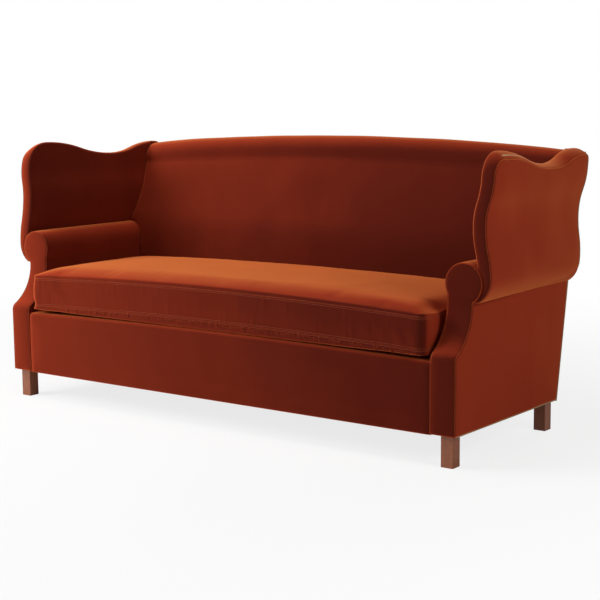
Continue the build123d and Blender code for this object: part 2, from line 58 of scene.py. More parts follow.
def linear(hexCode):
    parts = [int(hexCode[i:i + 2], 16) / 255 for i in (1, 3, 5)]
    return tuple(c / 12.92 if c < 0.04045 else ((c + 0.055) / 1.055) ** 2.4 for c in parts) + (1.0,)


# One node with its settings, which may be just an operation, and its links. A value is a constant,
# a socket or a node, iN is the input at place N, and stops are a colour ramp's places and colours
def addNode(tree, kind, settings=None, **inputs):
    node = tree.nodes.new(kind)
    if isinstance(settings, str):
        settings = {"operation": settings}
    for key, value in (settings or {}).items():
        if key != "stops":
            setattr(node, key, value)
            continue
        while len(node.color_ramp.elements) < len(value):
            node.color_ramp.elements.new(0.5)
        for element, (spot, colour) in zip(node.color_ramp.elements, value):
            element.position, element.color = spot, linear(colour)
    for key, value in inputs.items():
        socket = node.inputs[int(key[1:])] if key[0] == "i" and key[1:].isdigit() else node.inputs[key]
        if isinstance(value, bpy.types.Node):
            tree.links.new(value.outputs[0], socket)
        elif isinstance(value, bpy.types.NodeSocket):
            tree.links.new(value, socket)
        else:
            socket.default_value = value
    return node


def newMaterial(name):
    material = bpy.data.materials.new(name)
    material.use_nodes = True
    material.node_tree.nodes.clear()
    return material, partial(addNode, material.node_tree)


def finishMaterial(material, shader):
    addNode(material.node_tree, "ShaderNodeOutputMaterial", Surface=shader)
    return material


# Cotton velvet, short cut pile, with a painted sheen in its base colour: by the viewing angle alone it goes
# from dark brown seen face-on, through rust, to an orange highlight seen on edge. Brushing and bent edges
# shift that
def velvet(name, settings):
    material, add = newMaterial(name)
    place = add("ShaderNodeTexCoord").outputs["Object"]
    turned = add("ShaderNodeMapping", Vector=place, Scale=settings["brushStretch"])
    brushed = add("ShaderNodeTexNoise", Vector=turned, Scale=1 / (settings["brush"] * mm),
                  Detail=3.0, Roughness=0.5).outputs["Fac"]
    pile = add("ShaderNodeTexNoise", Vector=place, Scale=1 / (settings["pile"] * mm),
               Detail=2.0, Roughness=0.6).outputs["Fac"]
    # painted sheen: the base colour follows the viewing angle only, darker face-on and lighter on edge
    view = add("ShaderNodeLayerWeight", Blend=0.5).outputs["Facing"]
    leaning = add("ShaderNodeMath", "MULTIPLY_ADD", i0=brushed, i1=settings["brushShift"],
                  i2=settings["lift"] - settings["brushShift"] / 2)
    tufted = add("ShaderNodeMath", "MULTIPLY_ADD", i0=pile, i1=settings["pileShift"], i2=leaning)
    # painted highlight: convex bent edges pick a lighter tone of the painted sheen
    bent = add("ShaderNodeNewGeometry").outputs["Pointiness"]
    edgeSheen = add("ShaderNodeMapRange", Value=bent, i1=0.52, i2=0.6, i3=0.0, i4=settings["edge"])
    lift = add("ShaderNodeMath", i0=tufted, i1=edgeSheen)
    sheenAngle = add("ShaderNodeMath", i0=view, i1=lift)
    tone = add("ShaderNodeValToRGB", {"stops": settings["tones"]}, i0=sheenAngle)
    height = add("ShaderNodeMath", "MULTIPLY_ADD", i0=brushed, i1=settings["brushHeight"], i2=pile)
    bump = add("ShaderNodeBump", Strength=settings["bump"], Distance=0.4 * mm, Height=height)
    return finishMaterial(material, add("ShaderNodeBsdfPrincipled", Roughness=0.9, Normal=bump, **{
        "Base Color": tone, "Specular IOR Level": 0.05, "Sheen Weight": settings["sheen"],
        "Sheen Roughness": settings["sheenRoughness"], "Sheen Tint": linear(settings["bloom"])}))


# Wood cut along one axis: long fibres, darker late-wood lines and short pores
def wood(name, settings):
    material, add = newMaterial(name)
    place = add("ShaderNodeTexCoord").outputs["Object"]
    along = {"x": (0.06, 1, 1), "y": (1, 0.06, 1), "z": (1, 1, 0.06)}[settings["along"]]
    stretched = add("ShaderNodeMapping", Vector=place, Scale=along)
    bend = add("ShaderNodeTexNoise", Vector=stretched, Scale=1 / (settings["figure"] * mm),
               Detail=3.0).outputs["Fac"]
    grain = add("ShaderNodeTexNoise", Vector=stretched, Scale=1 / (settings["grain"] * mm),
                Detail=6.0, Roughness=0.65, Distortion=0.4).outputs["Fac"]
    fine = add("ShaderNodeMath", "MULTIPLY", i0=grain, i1=0.65)
    both = add("ShaderNodeMath", "MULTIPLY_ADD", i0=bend, i1=0.35, i2=fine)
    tone = add("ShaderNodeValToRGB", {"stops": settings["tones"]}, i0=both)
    shine = add("ShaderNodeMapRange", Value=grain, i3=settings["roughness"] - 0.08,
                i4=settings["roughness"] + 0.1)
    bump = add("ShaderNodeBump", Strength=0.25, Distance=0.2 * mm, Height=grain)
    return finishMaterial(material, add("ShaderNodeBsdfPrincipled", Normal=bump, **{
        "Base Color": tone, "Roughness": shine, "Coat Weight": settings["coat"], "Coat Roughness": 0.3}))


# Plain weave: two crossed sets of threads, each set a wave over the other
def woven(name, settings):
    material, add = newMaterial(name)
    place = add("ShaderNodeTexCoord").outputs["Object"]
    warp, weft = [add("ShaderNodeTexWave", {"bands_direction": axis}, Vector=place,
                      Scale=0.31 / (settings["pitch"] * mm), Distortion=1.2, Detail=1.0).outputs["Fac"]
              for axis in ("X", "Y")]
    cross = add("ShaderNodeMath", "MULTIPLY", i0=warp, i1=weft)
    slub = add("ShaderNodeTexNoise", Vector=place, Scale=1 / (8 * settings["pitch"] * mm))
    total = add("ShaderNodeMath", "MULTIPLY_ADD", i0=slub.outputs["Fac"], i1=0.5, i2=cross)
    tone = add("ShaderNodeValToRGB", {"stops": settings["tones"]}, i0=total)
    bump = add("ShaderNodeBump", Strength=0.5, Distance=0.3 * mm, Height=cross)
    return finishMaterial(material, add("ShaderNodeBsdfPrincipled", Roughness=0.92, Normal=bump, **{
        "Base Color": tone, "Sheen Weight": 0.15}))


# Mottled matt stuff such as wadding and fibreboard
def mottled(name, settings):
    material, add = newMaterial(name)
    place = add("ShaderNodeTexCoord").outputs["Object"]
    fibres = add("ShaderNodeTexNoise", Vector=place, Scale=1 / (settings["fibre"] * mm),
                 Detail=5.0, Roughness=0.7).outputs["Fac"]
    tone = add("ShaderNodeValToRGB", {"stops": settings["tones"]}, i0=fibres)
    bump = add("ShaderNodeBump", Strength=0.4, Distance=0.5 * mm, Height=fibres)
    return finishMaterial(material, add("ShaderNodeBsdfPrincipled", Normal=bump, **{
        "Base Color": tone, "Roughness": settings["roughness"]}))


# Drawn spring wire: bright grey steel with fine draw marks
def drawnSteel(name, settings):
    material, add = newMaterial(name)
    place = add("ShaderNodeTexCoord").outputs["Object"]
    marks = add("ShaderNodeTexNoise", Vector=place, Scale=1 / (settings["mark"] * mm),
                Detail=4.0).outputs["Fac"]
    tone = add("ShaderNodeValToRGB", {"stops": settings["tones"]}, i0=marks)
    shine = add("ShaderNodeMapRange", Value=marks, i3=0.28, i4=0.46)
    return finishMaterial(material, add("ShaderNodeBsdfPrincipled", Metallic=1.0, **{
        "Base Color": tone, "Roughness": shine}))


# painted sheen: the tones run from the velvet seen face-on to seen on edge; edge sets the painted highlight
# on bent edges
velvetLook = {"tones": [(0.0, "#4C180C"), (0.2, "#58190D"), (0.3, "#6F2311"), (0.55, "#95341C"),
                        (0.72, "#B3522B"), (0.92, "#CE6E38")],  # from down into the pile to on edge
              "lift": 0.0, "brushShift": 0.08, "pileShift": 0.02, "edge": 0.1, "bloom": "#E0501A",
              "sheen": 0.05, "sheenRoughness": 0.4, "brush": 150.0, "brushStretch": (1.0, 1.0, 0.4),
              "brushHeight": 0.5, "pile": 1.6, "bump": 0.2}  # tufts drawn 1.6 mm, twice real size
velvetMaterial = velvet("rust_cotton_velvet", velvetLook)
# painted highlight: the doubled velvet along a sewn edge is drawn a little lighter, as a sheen on its roll
seamSheenMaterial = velvet("rust_velvet_seam_sheen", {**velvetLook, "lift": 0.16})
threadMaterial = mottled("polyester_topstitch_thread", {
    "fibre": 0.8, "roughness": 0.6, "tones": [(0.3, "#8A3410"), (0.7, "#A04515")]})
walnutMaterial = wood("stained_walnut_satin", {
    "along": "z", "figure": 26.0, "grain": 1.7, "roughness": 0.42, "coat": 0.15,
    "tones": [(0.3, "#5C2C16"), (0.5, "#86492A"), (0.7, "#A05E38")]})
beech = {axis: wood(f"sawn_beech_{word}", {
    "along": axis, "figure": 40.0, "grain": 2.2, "roughness": 0.7, "coat": 0.0,
    "tones": list(zip((0.3, 0.55, 0.75), tones))}) for axis, word, tones in (
        ("x", "across", ("#B08A5E", "#C9A678", "#D8BC92")),
        ("z", "upright", ("#AC865A", "#C6A274", "#D6B88E")),
        ("y", "front_to_back", ("#AE885C", "#C8A476", "#D8BA90")))}
waddingMaterial = mottled("polyester_fibre_wadding", {
    "fibre": 6.0, "roughness": 0.95, "tones": [(0.3, "#D2CCBC"), (0.7, "#EFEBDF")]})
liningMaterial = woven("black_woven_lining", {
    "pitch": 1.2, "tones": [(0.3, "#141315"), (0.9, "#2B292C")]})
juteMaterial = woven("plain_jute_hessian", {
    "pitch": 2.4, "tones": [(0.3, "#6A5232"), (0.9, "#B0946A")]})
boardMaterial = mottled("thin_fibreboard", {
    "fibre": 3.0, "roughness": 0.85, "tones": [(0.35, "#8E7452"), (0.65, "#A88E68")]})
steelMaterial = drawnSteel("drawn_spring_steel", {
    "mark": 1.5, "tones": [(0.3, "#7E7F82"), (0.7, "#A3A4A7")]})
print("materials made")


# Meshes

def makeMesh(name, points, faces, material, sharp=55):
    mesh = bpy.data.meshes.new(name)
    moved = np.array(points, float)
    moved[:, 1] += frontFace
    mesh.from_pydata((moved * mm).tolist(), [], faces)
    mesh.materials.append(material)
    mesh.polygons.foreach_set("use_smooth", [True] * len(mesh.polygons))
    mesh.set_sharp_from_angle(angle=radians(sharp))
    mesh.update()
    piece = bpy.data.objects.new(name, mesh)
    bpy.context.scene.collection.objects.link(piece)
    return piece


def readVertices(mesh, what="co"):
    values = np.empty(len(mesh.vertices) * 3)
    mesh.vertices.foreach_get(what, values)
    return values.reshape(-1, 3)


# The mesh that an object's modifiers make, in place of its own
def keepMade(piece):
    bpy.context.view_layer.update()
    made = bpy.data.meshes.new_from_object(piece.evaluated_get(bpy.context.evaluated_depsgraph_get()))
    piece.modifiers.clear()
    piece.data = made
    return piece


# Distance along a line, at each of its points
def travelAlong(points):
    return np.concatenate([[0], np.cumsum(np.linalg.norm(np.diff(points, axis=0), axis=1))])


def resample(points, step):
    points = np.array(points, float)
    travel = travelAlong(points)
    count = max(2, int(round(travel[-1] / step)) + 1)
    marks = np.linspace(0, travel[-1], count)
    return np.stack([np.interp(marks, travel, points[:, k]) for k in range(points.shape[1])], axis=1)


def insideLoop(points, loop):
    x, y = points[:, 0], points[:, 1]
    inside = np.zeros(len(points), bool)
    for (x0, y0), (x1, y1) in zip(loop, np.roll(loop, -1, axis=0)):
        crosses = (y0 > y) != (y1 > y)
        if crosses.any():
            at = x0 + (y[crosses] - y0) * (x1 - x0) / (y1 - y0)
            inside[crosses] ^= x[crosses] < at
    return inside


# For each point its gap to the line and the nearest place on it, in batches to save memory
def nearestOnLine(points, line, batch=2000):
    best = np.full(len(points), 1e9)
    nearest = np.zeros((len(points), 2))
    starts, ends = line[:-1], line[1:]
    spans = ends - starts
    squares = np.maximum((spans ** 2).sum(axis=1), 1e-12)
    for first in range(0, len(points), batch):
        part = points[first:first + batch]
        share = np.clip(((part[:, None] - starts) * spans).sum(axis=2) / squares, 0, 1)
        feet = starts + share[..., None] * spans
        gaps = np.linalg.norm(part[:, None] - feet, axis=2)
        pick = gaps.argmin(axis=1)
        rows = np.arange(len(part))
        best[first:first + batch] = gaps[rows, pick]
        nearest[first:first + batch] = feet[rows, pick]
    return best, nearest


# A panel of cloth, sewn or tucked along its edges. Its outline is drawn flat, as runs of
# points that each end in an edge kind, and place() bends it to its surface. Near an edge it
# rolls over by the edge's (radius, turn in degrees, setback); inside it fills out by the puff
edgeKinds = {
    "corner": (6.0, 45.0, 1.8),   # meets the next panel round a corner
    "hem": (8.0, 60.0, 3.0),      # turns under
    "seam": (5.0, 32.0, 0.0),     # meets the next panel in the same surface
    "tuck": (13.0, 82.0, 0.0),    # pushed in beside its neighbour
    "plain": (1.0, 0.0, 0.0),     # runs on under another piece
}


# depths of the rings of points inside the edge, closest together where the cloth turns
ringDepths = (1.2, 2.6, 4.4, 6.6, 9.5, 13.5, 18.5)
dentSize, puckerSize = 160, 13  # millimetres of noise


def clothPanel(name, runs, place, panel, side=1):
    step = panel.get("step", 14.0)
    lines = [(resample(points, min(step, 7.0)), kind) for points, kind in runs]
    loop = np.concatenate([line[:-1] for line, kind in lines])
    area = 0.5 * np.sum(loop[:, 0] * np.roll(loop[:, 1], -1) - np.roll(loop[:, 0], -1) * loop[:, 1])
    if area < 0:
        lines = [(line[::-1], kind) for line, kind in lines[::-1]]
        loop = np.concatenate([line[:-1] for line, kind in lines])
    ring = np.concatenate([loop, loop[:1]])
    along = np.roll(loop, -1, axis=0) - np.roll(loop, 1, axis=0)
    inward = np.stack([-along[:, 1], along[:, 0]], axis=1)
    inward /= np.maximum(np.linalg.norm(inward, axis=1), 1e-9)[:, None]
    points = [loop]
    for depth in ringDepths:
        offset = loop + inward * depth
        keep = (nearestOnLine(offset, ring)[0] > 0.93 * depth) & insideLoop(offset, loop)
        chosen = []
        for point in offset[keep]:
            if not chosen or np.linalg.norm(point - chosen[-1]) > 3.5:
                chosen.append(point)
        if chosen:
            points.append(np.array(chosen))
    low, high = loop.min(axis=0), loop.max(axis=0)
    rows = np.arange(low[1], high[1], step * 0.87)  # near enough triangles of equal sides
    grid = np.array([(x + (step / 2 if r % 2 else 0), y) for r, y in enumerate(rows)
                     for x in np.arange(low[0], high[0], step)])
    gap = nearestOnLine(grid, ring)[0]
    points.append(grid[(gap > ringDepths[-1] + 0.55 * step) & insideLoop(grid, loop)])
    flat = np.concatenate(points)
    made = delaunay_2d_cdt([Vector(p) for p in flat], [], [list(range(len(loop)))], 1, 1e-4)
    flat = np.array([tuple(v) for v in made[0]])
    triangles = np.array([tuple(f) for f in made[2]])
    gap = nearestOnLine(flat, ring)[0]
    drop = np.zeros(len(flat))
    shift = np.zeros((len(flat), 2))
    puffGap = np.full(len(flat), 1e9)
    for line, kind in lines:
        radius, turn, setback = panel.get(kind, edgeKinds[kind])
        distance, foot = nearestOnLine(flat, line)
        bent = np.clip((radius * sin(radians(turn)) - distance) / radius, 0, 1)
        drop = np.maximum(drop, radius * (1 - np.sqrt(1 - bent ** 2)))
        if kind != "plain":
            puffGap = np.minimum(puffGap, distance)
        away = flat - foot
        length = np.linalg.norm(away, axis=1)
        onEdge = length < 0.01
        if onEdge.any():
            spot = np.array([((loop - p) ** 2).sum(axis=1).argmin() for p in flat[onEdge]])
            away[onEdge], length[onEdge] = inward[spot], 1.0
        fade = np.clip(1 - distance / min(3 * radius, 30), 0, 1) ** 2 * setback
        shift += away / length[:, None] * fade[:, None]
    placed = flat + shift
    surface = place(placed)
    delta = 0.5
    sideways = place(placed + [delta, 0]) - place(placed - [delta, 0])
    upward = place(placed + [0, delta]) - place(placed - [0, delta])
    normal = np.cross(sideways, upward)
    normal /= np.maximum(np.linalg.norm(normal, axis=1), 1e-9)[:, None]
    if panel.get("flip"):
        normal, triangles = -normal, triangles[:, ::-1]
    # Faint unevenness of the filling under the cloth, and puckers along sewn edges
    puff = panel.get("puff", 3.0) * (1 - np.exp(-puffGap / panel.get("puffReach", 40.0)))
    seed = panel["seed"]
    dents = np.array([noise.noise(Vector((p[0] / dentSize + seed, p[1] / dentSize, p[2] / dentSize)))
                      for p in surface])
    puckers = np.array([noise.noise(Vector((p[0] / puckerSize, p[1] / puckerSize, seed))) for p in placed])
    rise = puff - drop + dents * panel.get("dent", 0.8)
    rise += puckers * 0.35 * np.exp(-gap / 9) * (gap > 0.5)
    outer = surface + normal * rise[:, None]
    inner = outer - normal * panel["thickness"]
    count = len(outer)
    seen = {edge: True for a, b, c in triangles for edge in ((a, b), (b, c), (c, a))}
    border = [(a, b) for a, b in seen if (b, a) not in seen]
    rim = [(b, a, a + count, b + count) for a, b in border]
    everything = np.concatenate([outer, inner])
    faces = triangles.tolist() + (triangles[:, ::-1] + count).tolist() + rim
    if side < 0:
        everything = everything * [-1, 1, 1]
        faces = [face[::-1] for face in faces]
    piece = makeMesh(name, everything, faces, panel.get("material", velvetMaterial))
    folded = {(min(a, b), max(a, b)) for a, b in border}
    for edge in piece.data.edges:
        if (min(edge.vertices), max(edge.vertices)) in folded:
            edge.use_edge_sharp = True
    piece["flatArea"] = abs(area) * mm * mm
    return piece


def crestZ(x):
    return whole["crest"] - archRadius + np.sqrt(archRadius ** 2 - np.asarray(x, float) ** 2)


def rearY(z):
    return whole["depth"] + slope * (np.asarray(z, float) - whole["foot"])


# An S of two arcs between two places, flat at both ends: its value at a distance along
def easeArc(start, end, at):
    (t0, v0), (t1, v1) = start, end
    rise, run = v1 - v0, t1 - t0
    radius = (rise ** 2 + run ** 2) / (4 * abs(rise))
    at = np.asarray(at, float)
    first = radius - np.sqrt(np.maximum(radius ** 2 - (at - t0) ** 2, 0))
    second = radius - np.sqrt(np.maximum(radius ** 2 - (t1 - at) ** 2, 0))
    sign = 1 if rise > 0 else -1
    return np.where(np.abs(at - t0) <= abs(run) / 2, v0 + sign * first, v1 - sign * second)


# Arms

arm = {"inside": 863.0, "outside": 950.0, "rollX": 918.0, "rollZ": 543.0, "rollRadius": 63.0,
       "kneeHeight": 322.0, "kneeRadius": 25.0, "kneeTurn": 60.0, "setback": 95.0, "coverFoot": 300.0,
       "railSeamTop": 318.0}  # the front rail is sewn to the arm's front up to here
riseRadius = arm["setback"] / (1 - cos(radians(arm["kneeTurn"]))) - arm["kneeRadius"]
kneeTop = arm["kneeHeight"] + arm["kneeRadius"] * sin(radians(arm["kneeTurn"]))
riseTop = kneeTop + riseRadius * sin(radians(arm["kneeTurn"]))
neckZ = arm["rollZ"] - sqrt(arm["rollRadius"] ** 2 - (arm["outside"] - arm["rollX"]) ** 2)
innerNeckZ = arm["rollZ"] - sqrt(arm["rollRadius"] ** 2 - (arm["inside"] - arm["rollX"]) ** 2)


def armFront(z):
    z = np.asarray(z, float)
    knee = arm["kneeRadius"] - np.sqrt(np.maximum(arm["kneeRadius"] ** 2
                                                  - np.clip(z - arm["kneeHeight"], 0, 22) ** 2, 0))
    rise = arm["setback"] - riseRadius + np.sqrt(
        np.maximum(riseRadius ** 2 - np.clip(riseTop - z, 0, riseRadius) ** 2, 0))
    return np.where(z < arm["kneeHeight"], 0, np.where(z < kneeTop, knee, rise))


def rollArc(start, end, count=60):
    turns = np.radians(np.linspace(start, end, count))
    return [(arm["rollX"] + arm["rollRadius"] * cos(t), arm["rollZ"] + arm["rollRadius"] * sin(t))
            for t in turns]


innerAngle = degrees(atan2(innerNeckZ - arm["rollZ"], arm["inside"] - arm["rollX"])) + 360
outerAngle = degrees(atan2(neckZ - arm["rollZ"], arm["outside"] - arm["rollX"]))
roll = rollArc(innerAngle, outerAngle)
coverSection = resample([(arm["inside"], arm["coverFoot"]), (arm["inside"], innerNeckZ - 8)]
                        + roll[2:-1] + [(arm["outside"], neckZ)], 3.0)
coverTravel = travelAlong(coverSection)


def coverPlace(flat):
    x = np.interp(flat[:, 0], coverTravel, coverSection[:, 0])
    z = np.interp(flat[:, 0], coverTravel, coverSection[:, 1])
    return np.stack([x, flat[:, 1] + armFront(z), z], axis=1)


def facingPlace(flat):
    return np.stack([flat[:, 0], armFront(flat[:, 1]), flat[:, 1]], axis=1)


def sidePlace(flat):
    return np.stack([np.full(len(flat), arm["outside"]), flat[:, 0], flat[:, 1]], axis=1)


# A Geometry Nodes tree with one geometry input, its named sizes and a finish
def newTree(name, sizes):
    tree = bpy.data.node_groups.new(name, "GeometryNodeTree")
    face = tree.interface
    face.new_socket("Path", in_out="INPUT", socket_type="NodeSocketGeometry")
    for label, value in sizes.items():
        kind = "NodeSocketInt" if isinstance(value, int) else "NodeSocketFloat"
        face.new_socket(label, in_out="INPUT", socket_type=kind).default_value = value
    face.new_socket("Finish", in_out="INPUT", socket_type="NodeSocketMaterial")
    face.new_socket("Geometry", in_out="OUTPUT", socket_type="NodeSocketGeometry")
    return tree, partial(addNode, tree), addNode(tree, "NodeGroupInput").outputs


def closeTree(add, given, geometry):
    real = add("GeometryNodeRealizeInstances", Geometry=geometry)
    painted = add("GeometryNodeSetMaterial", Geometry=real, Material=given["Finish"])
    add("NodeGroupOutput", Geometry=painted)


# Runs a tree on paths of points in metres, closed where their ends match, and keeps plain mesh
def runTree(name, tree, paths, sizes, finish):
    points, edges = [], []
    for path in paths:
        first = len(points)
        closed = np.linalg.norm(np.array(path[0]) - np.array(path[-1])) < 1e-6
        kept = path[:-1] if closed else path
        points += [tuple(p) for p in kept]
        edges += [(first + k, first + k + 1) for k in range(len(kept) - 1)]
        if closed:
            edges.append((first + len(kept) - 1, first))
    mesh = bpy.data.meshes.new(name)
    mesh.from_pydata(points, edges, [])
    piece = bpy.data.objects.new(name, mesh)
    bpy.context.scene.collection.objects.link(piece)
    modifier = piece.modifiers.new("made", "NODES")
    modifier.node_group = tree
    for item in tree.interface.items_tree:
        if item.in_out == "INPUT" and item.name in sizes:
            modifier[item.identifier] = sizes[item.name]
        elif item.name == "Finish":
            modifier[item.identifier] = finish
    return keepMade(piece)


def toFrame(points, side=1):
    points = np.array(points, float) * [side, 1, 1]
    points[:, 1] += frontFace
    return [tuple(p) for p in points * mm]


# A sewn edge: a narrow roll of doubled velvet along each path
seamSizes = {"Radius": 1.1 * mm, "Spacing": 5.0 * mm}
seamTree, add, given = newTree("seamRoll", seamSizes)
line = add("GeometryNodeMeshToCurve", Mesh=given["Path"])
even = add("GeometryNodeResampleCurve", {"mode": "LENGTH"}, Curve=line, Length=given["Spacing"])
ring = add("GeometryNodeCurvePrimitiveCircle", Resolution=8, Radius=given["Radius"])
tube = add("GeometryNodeCurveToMesh", i0=even, i1=ring, **{"Fill Caps": True})
closeTree(add, given, add("GeometryNodeSetShadeSmooth", Geometry=tube))

# Topstitching: one short stitch after another along each path
stitchSizes = {"Length": 3.8 * mm, "Thread": 0.5 * mm, "Spacing": 5.2 * mm}
stitchTree, add, given = newTree("stitchRow", stitchSizes)
line = add("GeometryNodeMeshToCurve", Mesh=given["Path"])
spots = add("GeometryNodeCurveToPoints", {"mode": "LENGTH"}, Curve=line, Length=given["Spacing"])
stitch = add("GeometryNodeMeshCylinder", Vertices=6, Radius=given["Thread"], Depth=given["Length"])
rounded = add("GeometryNodeSetShadeSmooth", Geometry=stitch)
placed = add("GeometryNodeInstanceOnPoints", Points=spots, Instance=rounded,
             Rotation=spots.outputs["Rotation"])
closeTree(add, given, placed)

# Gathers: small slanted folds along a path that runs across the settee
gatherSizes = {"Length": 10.0 * mm, "Width": 2.3 * mm, "Slant": 0.85, "Spacing": 10.0 * mm, "Seed": 7}
gatherTree, add, given = newTree("gatherFolds", gatherSizes)
line = add("GeometryNodeMeshToCurve", Mesh=given["Path"])
spots = add("GeometryNodeCurveToPoints", {"mode": "LENGTH"}, Curve=line, Length=given["Spacing"])
some = add("FunctionNodeRandomValue", {"data_type": "BOOLEAN"}, Probability=0.7, Seed=given["Seed"])
least, most = [add("ShaderNodeMath", "MULTIPLY", i0=given["Slant"], i1=share) for share in (0.6, 1.3)]
slant = add("FunctionNodeRandomValue", {"data_type": "FLOAT"}, i2=least, i3=most, Seed=given["Seed"])
turned = add("ShaderNodeCombineXYZ", Y=slant.outputs[1])
fold = add("GeometryNodeMeshIcoSphere", Radius=1.0, Subdivisions=2)
fold = add("GeometryNodeSetShadeSmooth", Geometry=fold)
shape = add("ShaderNodeCombineXYZ", X=given["Length"], Y=given["Width"], Z=given["Width"])
size = add("FunctionNodeRandomValue", {"data_type": "FLOAT"}, i2=0.5, i3=1.1, Seed=given["Seed"])
shape = add("ShaderNodeVectorMath", "SCALE", i0=shape, Scale=size.outputs[1])
placed = add("GeometryNodeInstanceOnPoints", Points=spots, Instance=fold, Rotation=turned,
             Scale=shape, Selection=some.outputs[3])
closeTree(add, given, placed)
print("seam, stitch and gather trees made")


heights = np.linspace(whole["foot"], neckZ, 90)
frontLine = np.stack([armFront(heights), heights], axis=1)
backLayer = whole["backLayer"] / cos(radians(whole["rake"]))


# Tells the frame what a piece rides on and what it replaces
def dress(piece, body, replaced):
    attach(piece, body)
    if replaced:
        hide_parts(*replaced)


for side, hand in sides:
    rearGap = [(travel, float(rearY(z) - backLayer - armFront(z)))
               for travel, (x, z) in zip(coverTravel, coverSection)]
    cover = clothPanel(f"arm_roll_{hand}", [
        ([(0, 0), (coverTravel[-1], 0)], "corner"), ([(coverTravel[-1], 0), rearGap[-1]], "plain"),
        (rearGap[::-1], "plain"), ([rearGap[0], (0, 0)], "plain")],
        coverPlace, {"thickness": 10.0, "puff": 1.5, "seed": 3.0 + side}, side)
    dress(cover, "settee", [f"inner_arm_cover_{hand}", f"arm_pad_{hand}"])
    facing = clothPanel(f"arm_front_{hand}", [
        ([(arm["inside"], whole["foot"]), (arm["inside"], arm["railSeamTop"])], "seam"),
        ([(arm["inside"], arm["railSeamTop"]), (arm["inside"], innerNeckZ)] + roll + [(arm["outside"], neckZ),
         (arm["outside"], whole["foot"])], "corner"),
        ([(arm["outside"], whole["foot"]), (arm["inside"], whole["foot"])], "hem")],
        facingPlace, {"thickness": 8.0, "puff": 2.5, "puffReach": 18.0, "step": 9.0, "seed": 8.0 + side},
        side)
    dress(facing, "settee", [f"arm_facing_{hand}"])
    rearLine = [(float(rearY(z) - backLayer), z) for z in (whole["foot"], neckZ)]
    outerArm = clothPanel(f"outer_arm_{hand}", [
        (frontLine.tolist(), "corner"), ([tuple(frontLine[-1]), rearLine[1]], "plain"),
        (rearLine[::-1], "corner"), ([rearLine[0], tuple(frontLine[0])], "hem")],
        sidePlace, {"thickness": 3.0, "puff": 2.0, "puffReach": 90.0, "dent": 1.0,
                    "seed": 14.0 + side}, side)
    dress(outerArm, "settee", [f"outer_arm_cover_{hand}"])
print("arms covered")


# Wings

wing = {"front": 102.0, "foot": 484.0, "bulge": 555.0, "waist": 720.0, "flare": 850.0,
        "footReach": 5.0, "bulgeReach": 57.0, "waistReach": 37.0, "flareReach": 56.0,
        "lean": (122.0, 860.0), "shoulder": (205.0, 930.0), "dip": (540.0, 877.0), "ear": (760.0, 916.0),
        "thickness": 45.0, "swell": 17.0, "toe": 20.0, "earTurn": 16.0, "innerFoot": 598.0,
        "tail": 75.0, "innerRear": 60.0,  # down behind the ear, and into the back's padding
        "drop": ((102.0, 0.0), (122.0, 6.0), (205.0, 24.0), (540.0, 12.0), (760.0, 17.0)),
        "dropStarts": (780.0, 870.0)}


def wingReach(z):
    z = np.asarray(z, float)
    run, rise = wing["bulgeReach"] - wing["footReach"], wing["bulge"] - wing["foot"]
    radius = (run ** 2 + rise ** 2) / (2 * run)
    curl = wing["bulgeReach"] - radius + np.sqrt(
        np.maximum(radius ** 2 - np.clip(wing["bulge"] - z, 0, rise) ** 2, 0))
    low = easeArc((wing["bulge"], wing["bulgeReach"]), (wing["waist"], wing["waistReach"]), z)
    high = easeArc((wing["waist"], wing["waistReach"]), (wing["flare"], wing["flareReach"]), z)
    return np.where(z < wing["bulge"], curl, np.where(
        z < wing["waist"], low, np.where(z < wing["flare"], high, wing["flareReach"])))


def wingX(y, z, depth=0.0, swell=0.0):
    turn = atan2(wing["toe"] + swell, whole["depth"] - wing["front"])
    offset = wingReach(z) - depth
    return whole["outside"] + offset / cos(turn) - (np.asarray(y, float) - wing["front"]) * tan(turn)


def innerWingX(y, z):
    return wingX(y, z, wing["thickness"], wing["swell"])


# The wing's edge seen from the side, from its foot up, over the shoulder and back to the ear
def wingEdge():
    leanY, leanZ = wing["lean"]
    shoulderY, shoulderZ = wing["shoulder"]
    heading = 2 * degrees(atan2(shoulderY - leanY, shoulderZ - leanZ)) - 90
    leanStart = leanZ - (leanY - wing["front"]) / tan(radians(heading / 2))
    radius = ((leanY - wing["front"]) ** 2 + (leanZ - leanStart) ** 2) / (2 * (leanY - wing["front"]))
    line = [(wing["front"], wing["foot"]), (wing["front"], leanStart)]
    line += [(wing["front"] + radius - sqrt(radius ** 2 - (z - leanStart) ** 2), z)
             for z in np.linspace(leanStart, leanZ, 24)[1:]]
    run, rise = shoulderY - leanY, shoulderZ - leanZ
    bend = (run ** 2 + rise ** 2) / (2 * rise)
    start = atan2(leanZ - (shoulderZ - bend), leanY - shoulderY)
    line += [(shoulderY + bend * cos(t), shoulderZ - bend + bend * sin(t))
             for t in np.linspace(start, pi / 2, 16)[1:]]
    for a, b in ((wing["shoulder"], wing["dip"]), (wing["dip"], wing["ear"])):
        line += [(y, float(easeArc(a, b, y))) for y in np.linspace(a[0], b[0], 40)[1:]]
    earZ, turn, rake = wing["ear"][1], wing["earTurn"], radians(whole["rake"])
    centreZ = earZ - turn
    centreY = float(rearY(centreZ)) - backLayer - turn / cos(rake)
    line += [(centreY + turn * sin(t), centreZ + turn * cos(t))
             for t in np.linspace(0, pi / 2 + rake, 10)]
    low = earZ - wing["tail"]
    line.append((float(rearY(low) - backLayer), low))
    return resample(line, 3.0)


edgeLine = wingEdge()
edgeTravel = travelAlong(edgeLine)
topCount = int(np.argmax(edgeLine[:, 0] > wing["ear"][0] + 14))
sideEdge = edgeLine[:topCount]
profileZ = np.linspace(wing["foot"], 940, 400)
wingTravel = travelAlong(np.stack([wingReach(profileZ), profileZ], axis=1))


